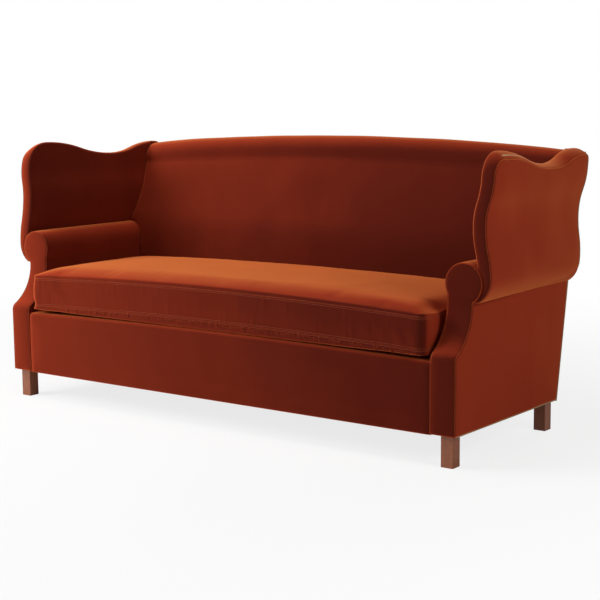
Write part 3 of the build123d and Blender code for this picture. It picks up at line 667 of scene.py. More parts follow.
def wingPlace(across):
    def place(flat):
        z = np.interp(flat[:, 1], wingTravel, profileZ)
        return np.stack([across(flat[:, 0], z), flat[:, 0], z], axis=1)
    return place


# How far the wing's outer edge lies below its inner edge: the top slopes outwards
def outerDrop(y, z):
    places, drops = zip(*wing["drop"])
    return np.interp(y, places, drops) * np.interp(z, wing["dropStarts"], (0.0, 1.0))


def bandPlace(flat):
    y = np.interp(flat[:, 0], edgeTravel, edgeLine[:, 0])
    z = np.interp(flat[:, 0], edgeTravel, edgeLine[:, 1])
    share = np.clip(flat[:, 1] / wing["thickness"], 0, 1)
    return np.stack([wingX(y, z) - flat[:, 1], y, z - outerDrop(y, z) * (1 - share) ** 1.6], axis=1)


def toTravel(line):
    return [(y, float(np.interp(z, profileZ, wingTravel))) for y, z in line]


def bandWidth(y, z):
    width = float(wingX(y, z) - innerWingX(y, z))
    if z < arm["rollZ"] + arm["rollRadius"] and y < wing["front"] + 20:
        across = sqrt(max(arm["rollRadius"] ** 2 - (z - arm["rollZ"]) ** 2, 0))
        width = min(width, float(wingX(y, z)) - arm["rollX"] - across + 5)
    return width


sideEdge = np.stack([sideEdge[:, 0], sideEdge[:, 1] - outerDrop(sideEdge[:, 0], sideEdge[:, 1])], axis=1)
earTop = sideEdge[-1]
rearEnd = [(float(rearY(z) - backLayer), z) for z in np.linspace(wing["foot"], earTop[1] - 4, 30)]
innerEdge = edgeLine[(edgeLine[:, 1] > wing["innerFoot"]) & (np.arange(len(edgeLine)) < topCount)]
for side, hand in sides:
    outerWing = clothPanel(f"outer_wing_{hand}", [
        (toTravel(sideEdge), "corner"), (toTravel([tuple(earTop), rearEnd[-1]]), "corner"),
        (toTravel(rearEnd[::-1]), "corner"), (toTravel([rearEnd[0], tuple(sideEdge[0])]), "hem")],
        wingPlace(wingX), {"thickness": 8.0, "puff": 2.5, "puffReach": 60.0, "dent": 1.0,
                           "seed": 21.0 + side}, side)
    dress(outerWing, "settee", [f"outer_wing_cover_{hand}"])
    innerRear = [(float(rearY(z) - wing["innerRear"]), z)
                 for z in (wing["innerFoot"], float(innerEdge[-1][1]))]
    innerWing = clothPanel(f"inner_wing_{hand}", [
        (toTravel(innerEdge), "corner"), (toTravel([tuple(innerEdge[-1]), innerRear[1]]), "plain"),
        (toTravel(innerRear[::-1]), "plain"), (toTravel([innerRear[0], tuple(innerEdge[0])]), "plain")],
        wingPlace(innerWingX), {"thickness": 10.0, "puff": 3.0, "puffReach": 50.0, "dent": 1.2,
                                "flip": True, "seed": 29.0 + side}, side)
    dress(innerWing, "settee", [f"inner_wing_cover_{hand}", f"wing_pad_{hand}"])
    inside = [(travel, bandWidth(y, z)) for travel, (y, z) in zip(edgeTravel, edgeLine)]
    band = clothPanel(f"wing_band_{hand}", [
        ([(0, 0), (edgeTravel[-1], 0)], "corner"), ([(edgeTravel[-1], 0), inside[-1]], "plain"),
        (inside[::-1], "corner"), ([inside[0], (0, 0)], "hem")],
        bandPlace, {"thickness": 8.0, "puff": 3.5, "puffReach": 14.0, "step": 9.0, "dent": 0.5,
                    "seed": 37.0 + side}, side)
    dress(band, "settee", [f"wing_border_{hand}"])
print("wings covered")


# Inside back

back = {"face": 595.0, "foot": 328.3, "lean": 21.5, "corner": 592.0, "bend": 250.0, "crown": 8.0,
        "frontEdge": 50.0, "rearEdge": 18.0, "half": 927.5, "rearDrop": 60.0, "puff": 4.0}
stations, ticks = np.linspace(-940, 940, 95), 260  # places across and up where the surface is tabled


def backSection(x):
    lean, rake = radians(back["lean"]), radians(whole["rake"])
    face = back["face"] - back["crown"] * (1 - (x / back["half"]) ** 2)
    top = float(crestZ(x)) - back["puff"]
    rear = float(rearY(top)) - backLayer
    line = [(face, back["foot"])]
    reach = back["bend"] * tan(lean / 2)
    line += [(face + back["bend"] * (1 - cos(t)), back["corner"] - reach + back["bend"] * sin(t))
             for t in np.linspace(0, lean, 12)]
    # The two roundings of the crest, each tangent to its face and to the top
    edge = back["frontEdge"]
    centre = face + (top - back["corner"]) * tan(lean) + edge * (1 / cos(lean) - tan(lean))
    line += [(centre - edge * cos(t), top - edge + edge * sin(t)) for t in np.linspace(-lean, pi / 2, 18)]
    edge = back["rearEdge"]
    centre = rear - edge * (1 / cos(rake) + tan(rake))
    line += [(centre + edge * sin(t), top - edge + edge * cos(t))
             for t in np.linspace(0, pi / 2 + rake, 16)]
    low = top - back["rearDrop"]
    line.append((float(rearY(low)) - backLayer, low))
    line = np.array(line)
    steps = travelAlong(line)
    marks = np.linspace(0, steps[-1], ticks)
    return np.stack([np.interp(marks, steps, line[:, k]) for k in (0, 1)], axis=1), steps[-1]


sections = [backSection(x) for x in stations]
backTable = np.array([s[0] for s in sections])
backLength = sections[len(sections) // 2][1]


def backPlace(flat):
    across = np.clip((flat[:, 0] - stations[0]) / (stations[1] - stations[0]), 0, len(stations) - 1.001)
    up = np.clip(flat[:, 1] / backLength * (ticks - 1), 0, ticks - 1.001)
    i, j = across.astype(int), up.astype(int)
    a, b = (across - i)[:, None], (up - j)[:, None]
    mixed = (backTable[i, j] * (1 - a) * (1 - b) + backTable[i + 1, j] * a * (1 - b)
             + backTable[i, j + 1] * (1 - a) * b + backTable[i + 1, j + 1] * a * b)
    return np.stack([flat[:, 0], mixed[:, 0], mixed[:, 1]], axis=1)


def besideBack(y, z):
    if z < innerNeckZ:
        return arm["inside"]
    rollSide = arm["rollX"] - sqrt(max(arm["rollRadius"] ** 2 - (z - arm["rollZ"]) ** 2, 0))
    if z < arm["rollZ"]:
        return min(rollSide, arm["inside"])
    if z < arm["rollZ"] + arm["rollRadius"]:
        return min(rollSide, float(innerWingX(y, z)))
    return float(innerWingX(y, z))


# The panel's sides follow the arms and the wings, whose gap is taken near x = 880
marks = np.linspace(0, backLength, 150)
sidePoints = backPlace(np.stack([np.full(len(marks), 880.0), marks], axis=1))
backSide = [(besideBack(y, z) + 1.0, w) for (x, y, z), w in zip(sidePoints, marks)]
insideBack = clothPanel("inside_back", [
    ([(-backSide[0][0], 0), (backSide[0][0], 0)], "plain"), (backSide, "tuck"),
    ([backSide[-1], (-backSide[-1][0], backLength)], "plain"),
    ([(-x, w) for x, w in backSide[::-1]], "tuck")],
    backPlace, {"thickness": 12.0, "puff": back["puff"], "puffReach": 55.0, "dent": 1.6, "step": 18.0,
                "seed": 45.0})
dress(insideBack, "settee", ["inner_back_cover", "back_pad"])
print("inside back covered")


# Outer back, stapled over the frame

outerBack = {"topDrop": 30.0, "puff": 1.5, "flat": (1980.0, 919.0)}  # flat: width, and height of its top


def outerBackPlace(flat):
    z = whole["foot"] + flat[:, 1] * cos(radians(whole["rake"]))
    return np.stack([flat[:, 0], rearY(z) - 1.0, z], axis=1)


def upRear(z):
    return (z - whole["foot"]) / cos(radians(whole["rake"]))


rearHeights = np.linspace(wing["foot"] + 2, 930, 120)
rearReach = [(float(wingX(rearY(z), z)), z) for z in rearHeights]
rearReach = [(x, z) for x, z in rearReach if z < crestZ(x) - outerBack["topDrop"]]
cornerX = rearReach[-1][0]
rearSide = [(whole["outside"], upRear(whole["foot"])), (whole["outside"], upRear(neckZ))]
rearSide += [(x, upRear(z)) for x, z in rearReach]
arch = [(x, upRear(float(crestZ(x)) - outerBack["topDrop"])) for x in np.linspace(cornerX, -cornerX, 90)]
outsideBack = clothPanel("outside_back", [
    (rearSide, "seam"), (arch, "seam"), ([(-x, w) for x, w in rearSide[::-1]], "seam"),
    ([(-whole["outside"], 0), (whole["outside"], 0)], "seam")],
    outerBackPlace, {"thickness": 3.0, "puff": outerBack["puff"], "puffReach": 60.0, "dent": 0.8,
                     "step": 20.0, "flip": True, "seed": 51.0, "seam": (3.0, 50.0, 0.5)})
dress(outsideBack, "settee", ["outer_back_cover"])
print("outer back covered")


# Front rail and deck

rail = {"half": 863.0, "height": 316.0, "crown": 12.0, "edge": 14.0, "hem": 6.0, "thick": 10.0,
        "deckTop": 328.0, "lip": (48.0, 62.0, 100.0), "endRoll": 7.0, "puff": 2.5, "puffReach": 70.0}


# The rail's padding and cover in section, as (y, z): up the face, over the top and up a lip that
# covers the deck's front edge under the cushion, then back along its inside
def railSection():
    foot, (top, edge, hem, thick) = whole["foot"], [rail[key] for key in ("height", "edge", "hem", "thick")]
    lipStart, lipTop, lipEnd = rail["lip"]
    line = [(hem - hem * sin(t), foot + hem - hem * cos(t)) for t in np.linspace(0, pi / 2, 7)]
    line += [(0, z) for z in np.linspace(foot + hem, top - edge, 22)[1:]]
    line += [(edge - edge * cos(t), top - edge + edge * sin(t)) for t in np.linspace(0, pi / 2, 9)[1:]]
    line += [(y, top) for y in np.linspace(edge, lipStart, 5)[1:]]
    line += [(y, float(easeArc((lipStart, top), (lipTop, rail["deckTop"]), y)))
             for y in np.linspace(lipStart, lipTop, 8)[1:]]
    return line + [(lipEnd, rail["deckTop"]), (lipEnd, top - 4), (lipStart, top - thick),
                   (edge + thick, top - edge), (thick, top - 2 * edge), (thick, foot + 2), (hem + 1, foot)]


railSizes = {"Half Width": rail["half"] * mm, "Foot": whole["foot"] * mm, "Height": rail["height"] * mm,
             "Deck": rail["deckTop"] * mm, "Edge": rail["edge"] * mm, "Crown": rail["crown"] * mm,
             "End Roll": rail["endRoll"] * mm, "Puff": rail["puff"] * mm,
             "Puff Reach": rail["puffReach"] * mm, "Steps": 140}
railTree, add, given = newTree("railSweep", railSizes)
section = add("GeometryNodeMeshToCurve", Mesh=given["Path"])
toLeft = add("ShaderNodeMath", "MULTIPLY", i0=given["Half Width"], i1=-1.0)
leftEnd = add("ShaderNodeCombineXYZ", X=toLeft)
rightEnd = add("ShaderNodeCombineXYZ", X=given["Half Width"])
width = add("GeometryNodeCurvePrimitiveLine", Start=leftEnd, End=rightEnd)
width = add("GeometryNodeResampleCurve", Curve=width, Count=given["Steps"])
width = add("GeometryNodeSetCurveNormal", {"mode": "Z_UP"}, Curve=width)
swept = add("GeometryNodeCurveToMesh", i0=width, i1=section, **{"Fill Caps": True})
at = add("ShaderNodeSeparateXYZ", Vector=add("GeometryNodeInputPosition")).outputs
# the top rises towards the middle, but the lip stays level with the deck
share = add("ShaderNodeMath", "DIVIDE", i0=at["X"], i1=given["Half Width"])
square = add("ShaderNodeMath", "MULTIPLY", i0=share, i1=share)
rise = add("ShaderNodeMath", "SUBTRACT", i0=1.0, i1=square)
bend = add("ShaderNodeMath", "SUBTRACT", i0=given["Height"], i1=given["Edge"])
lower = add("ShaderNodeMapRange", Value=at["Z"], i1=given["Foot"], i2=bend)
upper = add("ShaderNodeMapRange", Value=at["Z"], i1=given["Height"], i2=given["Deck"], i3=1.0, i4=0.0)
for factor in (given["Crown"], lower, upper):
    rise = add("ShaderNodeMath", "MULTIPLY", i0=rise, i1=factor)
# the face fills out away from its edges, and rolls back where it is sewn to the arms' fronts
beside = add("ShaderNodeMath", "ABSOLUTE", i0=at["X"])
beside = add("ShaderNodeMath", "SUBTRACT", i0=given["Half Width"], i1=beside)
nearest = add("ShaderNodeMath", "SUBTRACT", i0=at["Z"], i1=given["Foot"])
below = add("ShaderNodeMath", "SUBTRACT", i0=given["Height"], i1=at["Z"])
for distance in (below, beside):
    nearest = add("ShaderNodeMath", "MINIMUM", i0=nearest, i1=distance)
filled = add("ShaderNodeMapRange", {"interpolation_type": "SMOOTHERSTEP"}, Value=nearest,
             i1=0.0, i2=given["Puff Reach"])
filled = add("ShaderNodeMath", "MULTIPLY", i0=filled, i1=given["Puff"])
rolled = add("ShaderNodeMapRange", Value=beside, i1=0.0, i2=given["End Roll"], i3=1.0, i4=0.0)
rolled = add("ShaderNodeMath", "POWER", i0=rolled, i1=2.0)
for factor in (given["End Roll"], 0.55):
    rolled = add("ShaderNodeMath", "MULTIPLY", i0=rolled, i1=factor)
forward = add("ShaderNodeMath", "SUBTRACT", i0=rolled, i1=filled)
face = add("ShaderNodeMapRange", Value=at["Y"], i1=0.0, i2=given["Edge"], i3=1.0, i4=0.0)
forward = add("ShaderNodeMath", "MULTIPLY", i0=forward, i1=face)
offset = add("ShaderNodeCombineXYZ", Y=forward, Z=rise)
shaped = add("GeometryNodeSetPosition", Geometry=swept, Offset=offset)
closeTree(add, given, add("GeometryNodeSetShadeSmooth", Geometry=shaped))

profile = [(-y * mm, -z * mm, 0.0) for y, z in railSection()[::-1]]  # the sweep turns it upright
frontRail = runTree("front_rail", railTree, [profile + profile[:1]], railSizes, velvetMaterial)
places = readVertices(frontRail.data) + [0, frontFace * mm, 0]
frontRail.data.vertices.foreach_set("co", places.ravel())
frontRail.data.set_sharp_from_angle(angle=radians(50))
dress(frontRail, "settee", ["front_rail_cover", "front_rail_pad"])

deck = {"half": 861.0, "height": 328.1, "from": 62.0, "to": 690.0, "thickness": 1.5}


def levelPlace(height):
    return lambda flat: np.stack([flat[:, 0], flat[:, 1], np.full(len(flat), height)], axis=1)


corners = [(-deck["half"], deck["from"]), (deck["half"], deck["from"]), (deck["half"], deck["to"]),
           (-deck["half"], deck["to"])]
deckCloth = clothPanel("deck_cloth", [
    ([a, b], kind) for a, b, kind in zip(corners, corners[1:] + corners[:1],
                                         ("seam", "plain", "plain", "plain"))],
    levelPlace(deck["height"] - deck["thickness"]), {
        "thickness": deck["thickness"], "puff": 0.1, "dent": 0.1, "step": 22.0, "seed": 63.0,
        "material": liningMaterial})
dress(deckCloth, "settee", ["deck_cover"])

# Dust cloth under the rails, cut out round the legs
under = {"half": 946.0, "from": 16.0, "legX": 886.0, "legY": (63.0, 597.0), "height": 96.6}
rearFoot = float(rearY(whole["foot"])) - backLayer - 2
inner, (frontCut, rearCut) = under["legX"], under["legY"]
rightCut = [(inner, under["from"]), (inner, frontCut), (under["half"], frontCut), (under["half"], rearCut),
            (inner, rearCut), (inner, rearFoot)]
dustCloth = clothPanel("dust_cloth", [
    ([(-inner, under["from"]), (inner, under["from"])], "plain"), (rightCut, "plain"),
    ([(inner, rearFoot), (-inner, rearFoot)], "plain"), ([(-x, y) for x, y in rightCut[::-1]], "plain")],
    levelPlace(under["height"]), {"thickness": 1.2, "puff": 0.0, "dent": 0.5, "step": 24.0, "flip": True,
                                  "seed": 71.0, "material": liningMaterial})
dress(dustCloth, "settee", ["dust_cover"])
print("rail, deck and dust cloth made")


# Loose cushion

cushion = {"half": 853.5, "nose": 10.0, "rear": 590.0, "foot": 328.3, "bottomSeam": 345.0,
           "topSeam": 442.0, "seamArch": 20.0, "top": 494.0, "draw": 6.0, "corner": 30.0, "cell": 12.0,
           "rows": 9, "smaller": 3.0, "bulge": 4.0,
           "edgeRise": (25.0, 80.0), "crownRise": (11.0, 260.0),  # rise, and how far in it ends
           "underReach": 22.0, "underBulge": 7.0,
           "dimple": (9.0, 26.0, 100.0, 26.0, 60.0),  # depth, place in from the corner, width and length
           "pressure": 4.0, "cap": 9.0, "frames": 20, "groove": 0.7, "pucker": 2.2, "puckerReach": 90.0,
           "puckerPitch": 23.0, "gather": 2.0, "gatherPitch": 14.0, "gatherDepth": 12.0,
           "gathered": (-660.0, 820.0)}
middleY, deepY = (cushion["rear"] - cushion["nose"]) / 2, (cushion["rear"] + cushion["nose"]) / 2


# Places of the grid lines across the cushion, closer together beside the seams
def gridShares(length):
    near = np.array([0, 3.0, 7.5, 14.0, 23.0])
    count = int(round((length - 2 * near[-1]) / cushion["cell"]))
    even = np.linspace(near[-1], length - near[-1], count + 1)
    return np.concatenate([near[:-1], even, length - near[:-1][::-1]]) / length


# The cushion's outline in plan: rounded corners, and sides that pull in between them
def cushionPlan(inset, shareX, shareY):
    half, deep = cushion["half"] - inset, deepY - inset
    radius = max(cushion["corner"] - inset * 0.3, 8)
    across, up = shareX * 2 - 1, shareY * 2 - 1
    corners = [(t, -1) for t in across[:-1]] + [(1, t) for t in up[:-1]]
    corners += [(t, 1) for t in across[:0:-1]] + [(-1, t) for t in up[:0:-1]]
    shaped = []
    for a, b in corners:
        x, y = a * half, b * deep
        beyond = (abs(x) - (half - radius), abs(y) - (deep - radius))
        if min(beyond) > 0:
            length = sqrt(beyond[0] ** 2 + beyond[1] ** 2)
            x = (half - radius + beyond[0] / length * radius) * (1 if x > 0 else -1)
            y = (deep - radius + beyond[1] / length * radius) * (1 if y > 0 else -1)
        inX, inY = cushion["draw"] * (1 - (y / deep) ** 2), cushion["draw"] * (1 - (x / half) ** 2)
        shaped.append((x * (1 - inX / half), middleY + y * (1 - inY / deep)))
    return shaped


# How far a place is from the sides, and which way the nearest side lies
def sideGap(x, y):
    gapX = max(cushion["half"] - abs(x), 0.01)
    gapY = max(deepY - abs(y - middleY), 0.01)
    pull = np.array([gapX ** -2 * (1 if x > 0 else -1), gapY ** -2 * (1 if y > middleY else -1)])
    return (gapX ** -2 + gapY ** -2) ** -0.5, pull / np.linalg.norm(pull)


# Both seams arch up towards the middle, where the filling is fullest
def seamHeight(seam, x):
    return cushion[seam] + cushion["seamArch"] * (1 - (x / cushion["half"]) ** 2)


def topPoint(x, y, onRim):
    if onRim:
        return x, y, seamHeight("topSeam", x)
    gap = sideGap(x, y)[0]
    (quick, near), (slow, far) = cushion["edgeRise"], cushion["crownRise"]
    rise = quick * sqrt(1 - (1 - min(gap / near, 1)) ** 2) + slow * (1 - (1 - min(gap / far, 1)) ** 2)
    depth, inward, behind, wide, long = cushion["dimple"]
    away = ((cushion["half"] - abs(x) - inward) / wide) ** 2 + ((y + cushion["nose"] - behind) / long) ** 2
    return x, y, seamHeight("topSeam", x) + rise - depth * np.exp(-away)


def underPoint(x, y, onRim):
    seam = seamHeight("bottomSeam", x)
    if onRim:
        return x, y, seam
    gap, outward = sideGap(x, y)
    share = min(gap / cushion["underReach"], 1)
    z = seam - (seam - cushion["foot"] - 1) * sqrt(1 - (1 - share) ** 2)
    push = cushion["underBulge"] * sin(pi * share) * outward
    return x + push[0], y + push[1], z


# Top and under panel as grids that meet the boxing at the two seams
def buildCushion():
    shareX, shareY = gridShares(2 * cushion["half"]), gridShares(2 * deepY)
    nx, ny = len(shareX) - 1, len(shareY) - 1
    rim = cushionPlan(cushion["smaller"] + cushion["bulge"] / 2, shareX, shareY)
    belly = cushionPlan(cushion["smaller"] - cushion["bulge"] / 2, shareX, shareY)
    order = [(i, 0) for i in range(nx)] + [(nx, j) for j in range(ny)]
    order += [(i, ny) for i in range(nx, 0, -1)] + [(0, j) for j in range(ny, 0, -1)]
    rimAt = {spot: np.array(place) for spot, place in zip(order, rim)}
    points, faces, index = [], [], {}
    for tag, surface in (("top", topPoint), ("low", underPoint)):
        for j in range(ny + 1):
            for i in range(nx + 1):
                if (i, j) in rimAt:
                    x, y = rimAt[i, j]
                else:  # between the four sides of the outline
                    s, t = shareX[i], shareY[j]
                    x, y = ((1 - s) * rimAt[0, j] + s * rimAt[nx, j]
                            + (1 - t) * rimAt[i, 0] + t * rimAt[i, ny]
                            - (1 - s) * ((1 - t) * rimAt[0, 0] + t * rimAt[0, ny])
                            - s * ((1 - t) * rimAt[nx, 0] + t * rimAt[nx, ny]))
                index[tag, i, j] = len(points)
                points.append(surface(x, y, (i, j) in rimAt))
    for j in range(ny):
        for i in range(nx):
            quad = [(i, j), (i + 1, j), (i + 1, j + 1), (i, j + 1)]
            faces.append([index["top", a, b] for a, b in quad])
            faces.append([index["low", a, b] for a, b in quad[::-1]])
    tall = cushion["topSeam"] - cushion["bottomSeam"]
    previous = [index["low", i, j] for i, j in order]
    for row in range(1, cushion["rows"] + 1):
        share = row / cushion["rows"]
        if share == 1:
            current = [index["top", i, j] for i, j in order]
        else:
            current = list(range(len(points), len(points) + len(order)))
            out = sin(pi * share)
            points += [(ax + (bx - ax) * out, ay + (by - ay) * out,
                        seamHeight("bottomSeam", ax) + share * tall)
                       for (ax, ay), (bx, by) in zip(rim, belly)]
        for k in range(len(order)):
            n = (k + 1) % len(order)
            faces.append([previous[k], previous[n], current[n], current[k]])
        previous = current
    seams = {tag: [index[tag, i, j] for i, j in order] for tag in ("low", "top")}
    return points, faces, seams


# Blows the sewn cover up with a cloth simulation, as the filling does
def inflate(piece):
    cloth = piece.modifiers.new("filling", "CLOTH")
    cloth.settings.quality = 5
    cloth.settings.mass = 0.3
    cloth.settings.tension_stiffness = cloth.settings.compression_stiffness = 25
    cloth.settings.shear_stiffness = 12
    cloth.settings.bending_stiffness = 4
    cloth.settings.use_pressure = True
    cloth.settings.uniform_pressure_force = cushion["pressure"]
    cloth.settings.effector_weights.gravity = 0
    cloth.point_cache.frame_start, cloth.point_cache.frame_end = 1, cushion["frames"]
    for frameNumber in range(1, cushion["frames"] + 1):
        bpy.context.scene.frame_set(frameNumber)
    blown = readVertices(piece.evaluated_get(bpy.context.evaluated_depsgraph_get()).data)
    piece.modifiers.remove(cloth)
    bpy.context.scene.frame_set(1)
    return blown


points, faces, seams = buildCushion()
benchCushion = makeMesh("bench_cushion", points, faces, velvetMaterial, sharp=180)
start = readVertices(benchCushion.data)
moved = inflate(benchCushion) - start
travel = np.linalg.norm(moved, axis=1)
print("cushion filled, moved", round(float(np.median(travel)) * 1000, 1), "mm, at most",
      round(float(travel.max()) * 1000, 1), "mm before the cap")
shaped = start + moved * np.minimum(1, cushion["cap"] * mm / np.maximum(travel, 1e-9))[:, None]
low = np.array([-cushion["half"] - 1, frontFace - cushion["nose"] - 4, cushion["foot"]]) * mm
high = np.array([cushion["half"] + 1, frontFace + cushion["rear"] + 1, cushion["top"] + 6]) * mm
shaped = np.clip(shaped, low, high)
benchCushion.data.vertices.foreach_set("co", shaped.ravel())
benchCushion.data.update()
finer = benchCushion.modifiers.new("finer", "SUBSURF")
finer.levels = finer.render_levels = 1
made = keepMade(benchCushion).data

# Grooves at the seams, puckers up the boxing from them, and slanted gathers under the front seam
fine, normals = readVertices(made), readVertices(made, "normal")
seamLoops = {tag: resample(fine[loop + loop[:1]], 5 * mm) for tag, loop in seams.items()}
push = np.zeros(len(fine))
for tag, loop in seamLoops.items():
    tree = KDTree(len(loop))
    for k, spot in enumerate(loop):
        tree.insert(spot, k)
    tree.balance()
    for v, spot in enumerate(fine):
        k, gap = tree.find(spot)[1:]
        gap /= mm
        if gap > cushion["puckerReach"]:
            continue
        along = k * 5.0
        height = spot[2] / mm
        push[v] -= cushion["groove"] * np.exp(-(gap / 4) ** 2)
        under = height < seamHeight("bottomSeam", spot[0] / mm) - 0.5
        if not under and height < seamHeight("topSeam", spot[0] / mm) + 0.5:
            seed = 5.0 if tag == "low" else 9.0
            fold = noise.noise(Vector((along / cushion["puckerPitch"], gap / 160, seed)))
            push[v] += cushion["pucker"] * np.exp(-gap / 36) * min(gap / 8, 1) * max(abs(fold) - 0.22, 0)
        elif tag == "low" and under:
            strength = np.exp(-(gap / cushion["gatherDepth"] - 1) ** 2)
            strength *= np.interp(spot[0] / mm, (-750, -50), (0.3, 1))
            fold = noise.noise(Vector(((along + 1.3 * gap) / cushion["gatherPitch"], 0, 2.0)))
            push[v] += cushion["gather"] * strength * fold
fine += normals * (push * mm)[:, None]
made.vertices.foreach_set("co", np.clip(fine, low, high).ravel())
made.polygons.foreach_set("use_smooth", [True] * len(made.polygons))
made.update()
dress(benchCushion, "seat_cushion", ["cushion_cover", "cushion_wrap", "cushion_core"])

# A row of topstitching lies on the cloth on each side of both seams
surface = BVHTree.FromPolygons([v.co for v in made.vertices], [p.vertices for p in made.polygons])
rows = []
for tag, loop in seamLoops.items():
    for inward, upward in (((4.5, 2.6), (0.0, -4.6)) if tag == "top" else ((0.0, 4.6), (2.0, -4.2))):
        row = []
        for spot in loop:
            outward = sideGap(spot[0] / mm, spot[1] / mm - frontFace)[1]
            near = Vector(spot) - Vector((*outward, 0)) * inward * mm + Vector((0, 0, upward * mm))
            place, normal = surface.find_nearest(near)[:2]
            row.append(tuple(place + normal * 0.25 * mm))
        rows.append(row)
dress(runTree("cushion_topstitching", stitchTree, rows, stitchSizes, threadMaterial), "seat_cushion", [])
first, last = cushion["gathered"]
gathered = sorted((spot for spot in seamLoops["low"] if spot[1] < (frontFace + 10) * mm
                   and first * mm < spot[0] < last * mm), key=lambda spot: spot[0])
fold = [tuple(surface.find_nearest(Vector(spot) + Vector((0, -2 * mm, -13 * mm)))[0]) for spot in gathered]
dress(runTree("cushion_gathers", gatherTree, [fold], gatherSizes, velvetMaterial), "seat_cushion", [])
loops = [[tuple(p) for p in loop] for loop in seamLoops.values()]
dress(runTree("cushion_seams", seamTree, loops, {**seamSizes, "Radius": 0.9 * mm}, velvetMaterial),
      "seat_cushion", [])
print("cushion made")

# Sewn edges of the arms, wings and rail, a little inside the edges that they close
sewn = {"inner": 0.8, "outer": 1.2, "behind": 1.2, "railBehind": 0.9, "wingBelow": 0.6, "rollShare": 0.978,
        "foot": whole["foot"] + 3}
for side, hand in sides:
    outline = [(arm["inside"] + sewn["inner"], z) for z in (arm["railSeamTop"], innerNeckZ)]
    outline += [(arm["rollX"] + (x - arm["rollX"]) * sewn["rollShare"],
                 arm["rollZ"] + (z - arm["rollZ"]) * sewn["rollShare"]) for x, z in roll]
    outline += [(arm["outside"] - sewn["outer"], z) for z in (neckZ, sewn["foot"])]
    facingSeam = [(x, float(armFront(z)) + sewn["behind"], z) for x, z in resample(outline, 4.0)]
    railSeam = [(rail["half"], sewn["railBehind"], z)
                for z in np.linspace(sewn["foot"], arm["railSeamTop"], 50)]
    wingSeam = np.array([(float(wingX(y, z)) - sewn["outer"], y, z - float(outerDrop(y, z)))
                         for y, z in edgeLine[2:]])
    ahead = np.gradient(wingSeam[:, 1:], axis=0)
    ahead /= np.linalg.norm(ahead, axis=1)[:, None]
    wingSeam[:, 1] += ahead[:, 1] * sewn["wingBelow"]
    wingSeam[:, 2] -= ahead[:, 0] * sewn["wingBelow"]
    paths = [toFrame(line, side) for line in (facingSeam, railSeam, wingSeam)]
    # the sewn edges take the seam velvet with its painted highlight
    dress(runTree(f"sewn_edges_{hand}", seamTree, paths, seamSizes, seamSheenMaterial), "settee", [])
print("sewn edges made")

# Floor, light and camera

scene = bpy.context.scene
scene.view_settings.view_transform = "Standard"

floorMesh = bpy.data.meshes.new("floor")
reach = 9.0
floorMesh.from_pydata([(-reach, -reach, 0), (reach, -reach, 0), (reach, reach, 0), (-reach, reach, 0)], [],
                      [(0, 1, 2, 3)])
floor = bpy.data.objects.new("floor", floorMesh)
scene.collection.objects.link(floor)
floorMaterial, add = newMaterial("white_studio_floor")
rays = add("ShaderNodeLightPath").outputs
place = add("ShaderNodeTexCoord").outputs["Object"]
away = add("ShaderNodeVectorMath", "LENGTH", i0=place).outputs["Value"]
fade = add("ShaderNodeMapRange", Value=away, i1=1.1, i2=3.2, i3=0.8, i4=1.0)
seenRay = add("ShaderNodeMath", "MULTIPLY", i0=fade, i1=rays["Is Camera Ray"])
matt = add("ShaderNodeBsdfDiffuse", Color=linear("#F4F4F4"))
white = add("ShaderNodeEmission", Color=(1, 1, 1, 1), Strength=1.0)
finishMaterial(floorMaterial, add("ShaderNodeMixShader", i0=seenRay, i1=matt, i2=white))
floorMesh.materials.append(floorMaterial)

world = bpy.data.worlds.new("studio")
scene.world = world
world.use_nodes = True
world.node_tree.nodes.clear()
add = partial(addNode, world.node_tree)
rays = add("ShaderNodeLightPath").outputs
shown = rays["Is Camera Ray"]
for kind in ("Is Glossy Ray", "Is Transmission Ray"):
    shown = add("ShaderNodeMath", "MAXIMUM", i0=shown, i1=rays[kind])
room = add("ShaderNodeBackground", Color=linear("#F2F0EE"), Strength=0.12)
white = add("ShaderNodeBackground", Color=(1, 1, 1, 1), Strength=1.0)
mixed = add("ShaderNodeMixShader", i0=shown, i1=room, i2=white)
add("ShaderNodeOutputWorld", Surface=mixed)

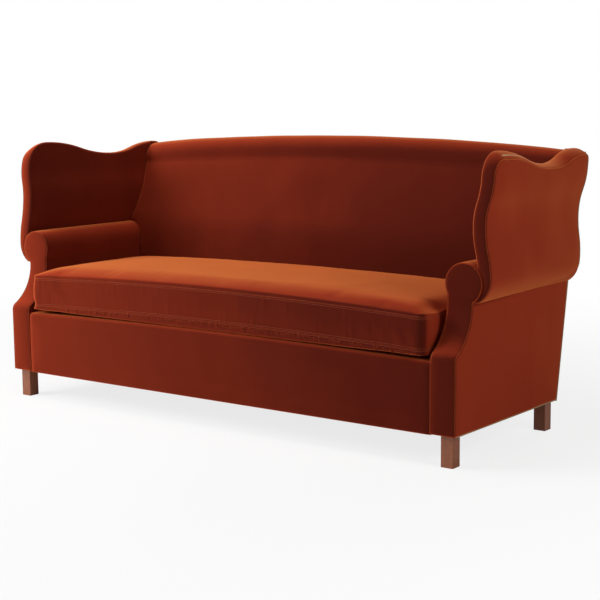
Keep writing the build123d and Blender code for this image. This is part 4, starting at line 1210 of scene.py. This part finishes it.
# name: place, aim, width, height, watts
lamps = {
    "over": ((-0.8, -0.8, 3.2), (0.0, 0.0, 0.4), 2.4, 1.8, 36.0),
    "left": ((-2.7, -2.6, 2.05), (0.0, 0.0, 0.5), 1.8, 1.8, 128.0),
    "right": ((3.6, -0.7, 2.1), (0.95, 0.1, 0.5), 1.2, 1.2, 38.0),
    "rear": ((0.0, 3.6, 1.9), (0.0, 0.4, 0.5), 2.2, 1.4, 30.0),
}
for name, (spot, aim, width, height, watts) in lamps.items():
    light = bpy.data.lights.new(name, "AREA")
    light.shape, light.size, light.size_y, light.energy = "RECTANGLE", width, height, watts
    lamp = bpy.data.objects.new(name, light)
    lamp.location = spot
    lamp.rotation_euler = (Vector(aim) - Vector(spot)).to_track_quat("-Z", "Y").to_euler()
    scene.collection.objects.link(lamp)

view = {"place": (3.0652, -3.9262, 1.1105), "turn": 37.17, "dip": 8.29, "tilt": -0.56, "lens": 85.96}
turn, dip, tilt = (radians(view[key]) for key in ("turn", "dip", "tilt"))
ahead = Vector((-sin(turn) * cos(dip), cos(turn) * cos(dip), -sin(dip)))
across = Vector((cos(turn), sin(turn), 0))
upward = across.cross(ahead)
cameraData = bpy.data.cameras.new("camera")
cameraData.lens, cameraData.sensor_width = view["lens"], 36.0
camera = bpy.data.objects.new("camera", cameraData)
right = across * cos(tilt) + upward * sin(tilt)
top = upward * cos(tilt) - across * sin(tilt)
basis = Matrix((right, top, -ahead)).transposed().to_4x4()
camera.matrix_world = Matrix.Translation(view["place"]) @ basis
scene.collection.objects.link(camera)
scene.camera = camera

# Finishes of the pieces that stay as they come from the frame
finishes = (
    (walnutMaterial, ("front_leg", "rear_leg")),
    (beech["x"], ("front_seat_rail", "back_seat_rail", "crest_rail", "back_tack_rail", "corner_blocks")),
    (beech["z"], ("arm_post", "back_post", "back_uprights", "wing_post")),
    (beech["y"], ("side_seat_rail", "seat_stretchers", "arm_top_rail", "arm_tack_rails", "wing_top_rail")),
    (waddingMaterial, ("deck_pad",)),
    (juteMaterial, ("seat_hessian", "back_webbing")),
    (boardMaterial, ("outer_arm_board", "outer_back_board")),
    (steelMaterial, ("seat_springs", "spring_clips", "leg_bolts")))
for name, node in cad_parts.items():
    for material, starts in finishes:
        if name.startswith(starts):
            for slot in node.material_slots:
                slot.material = material
print("finishes set")
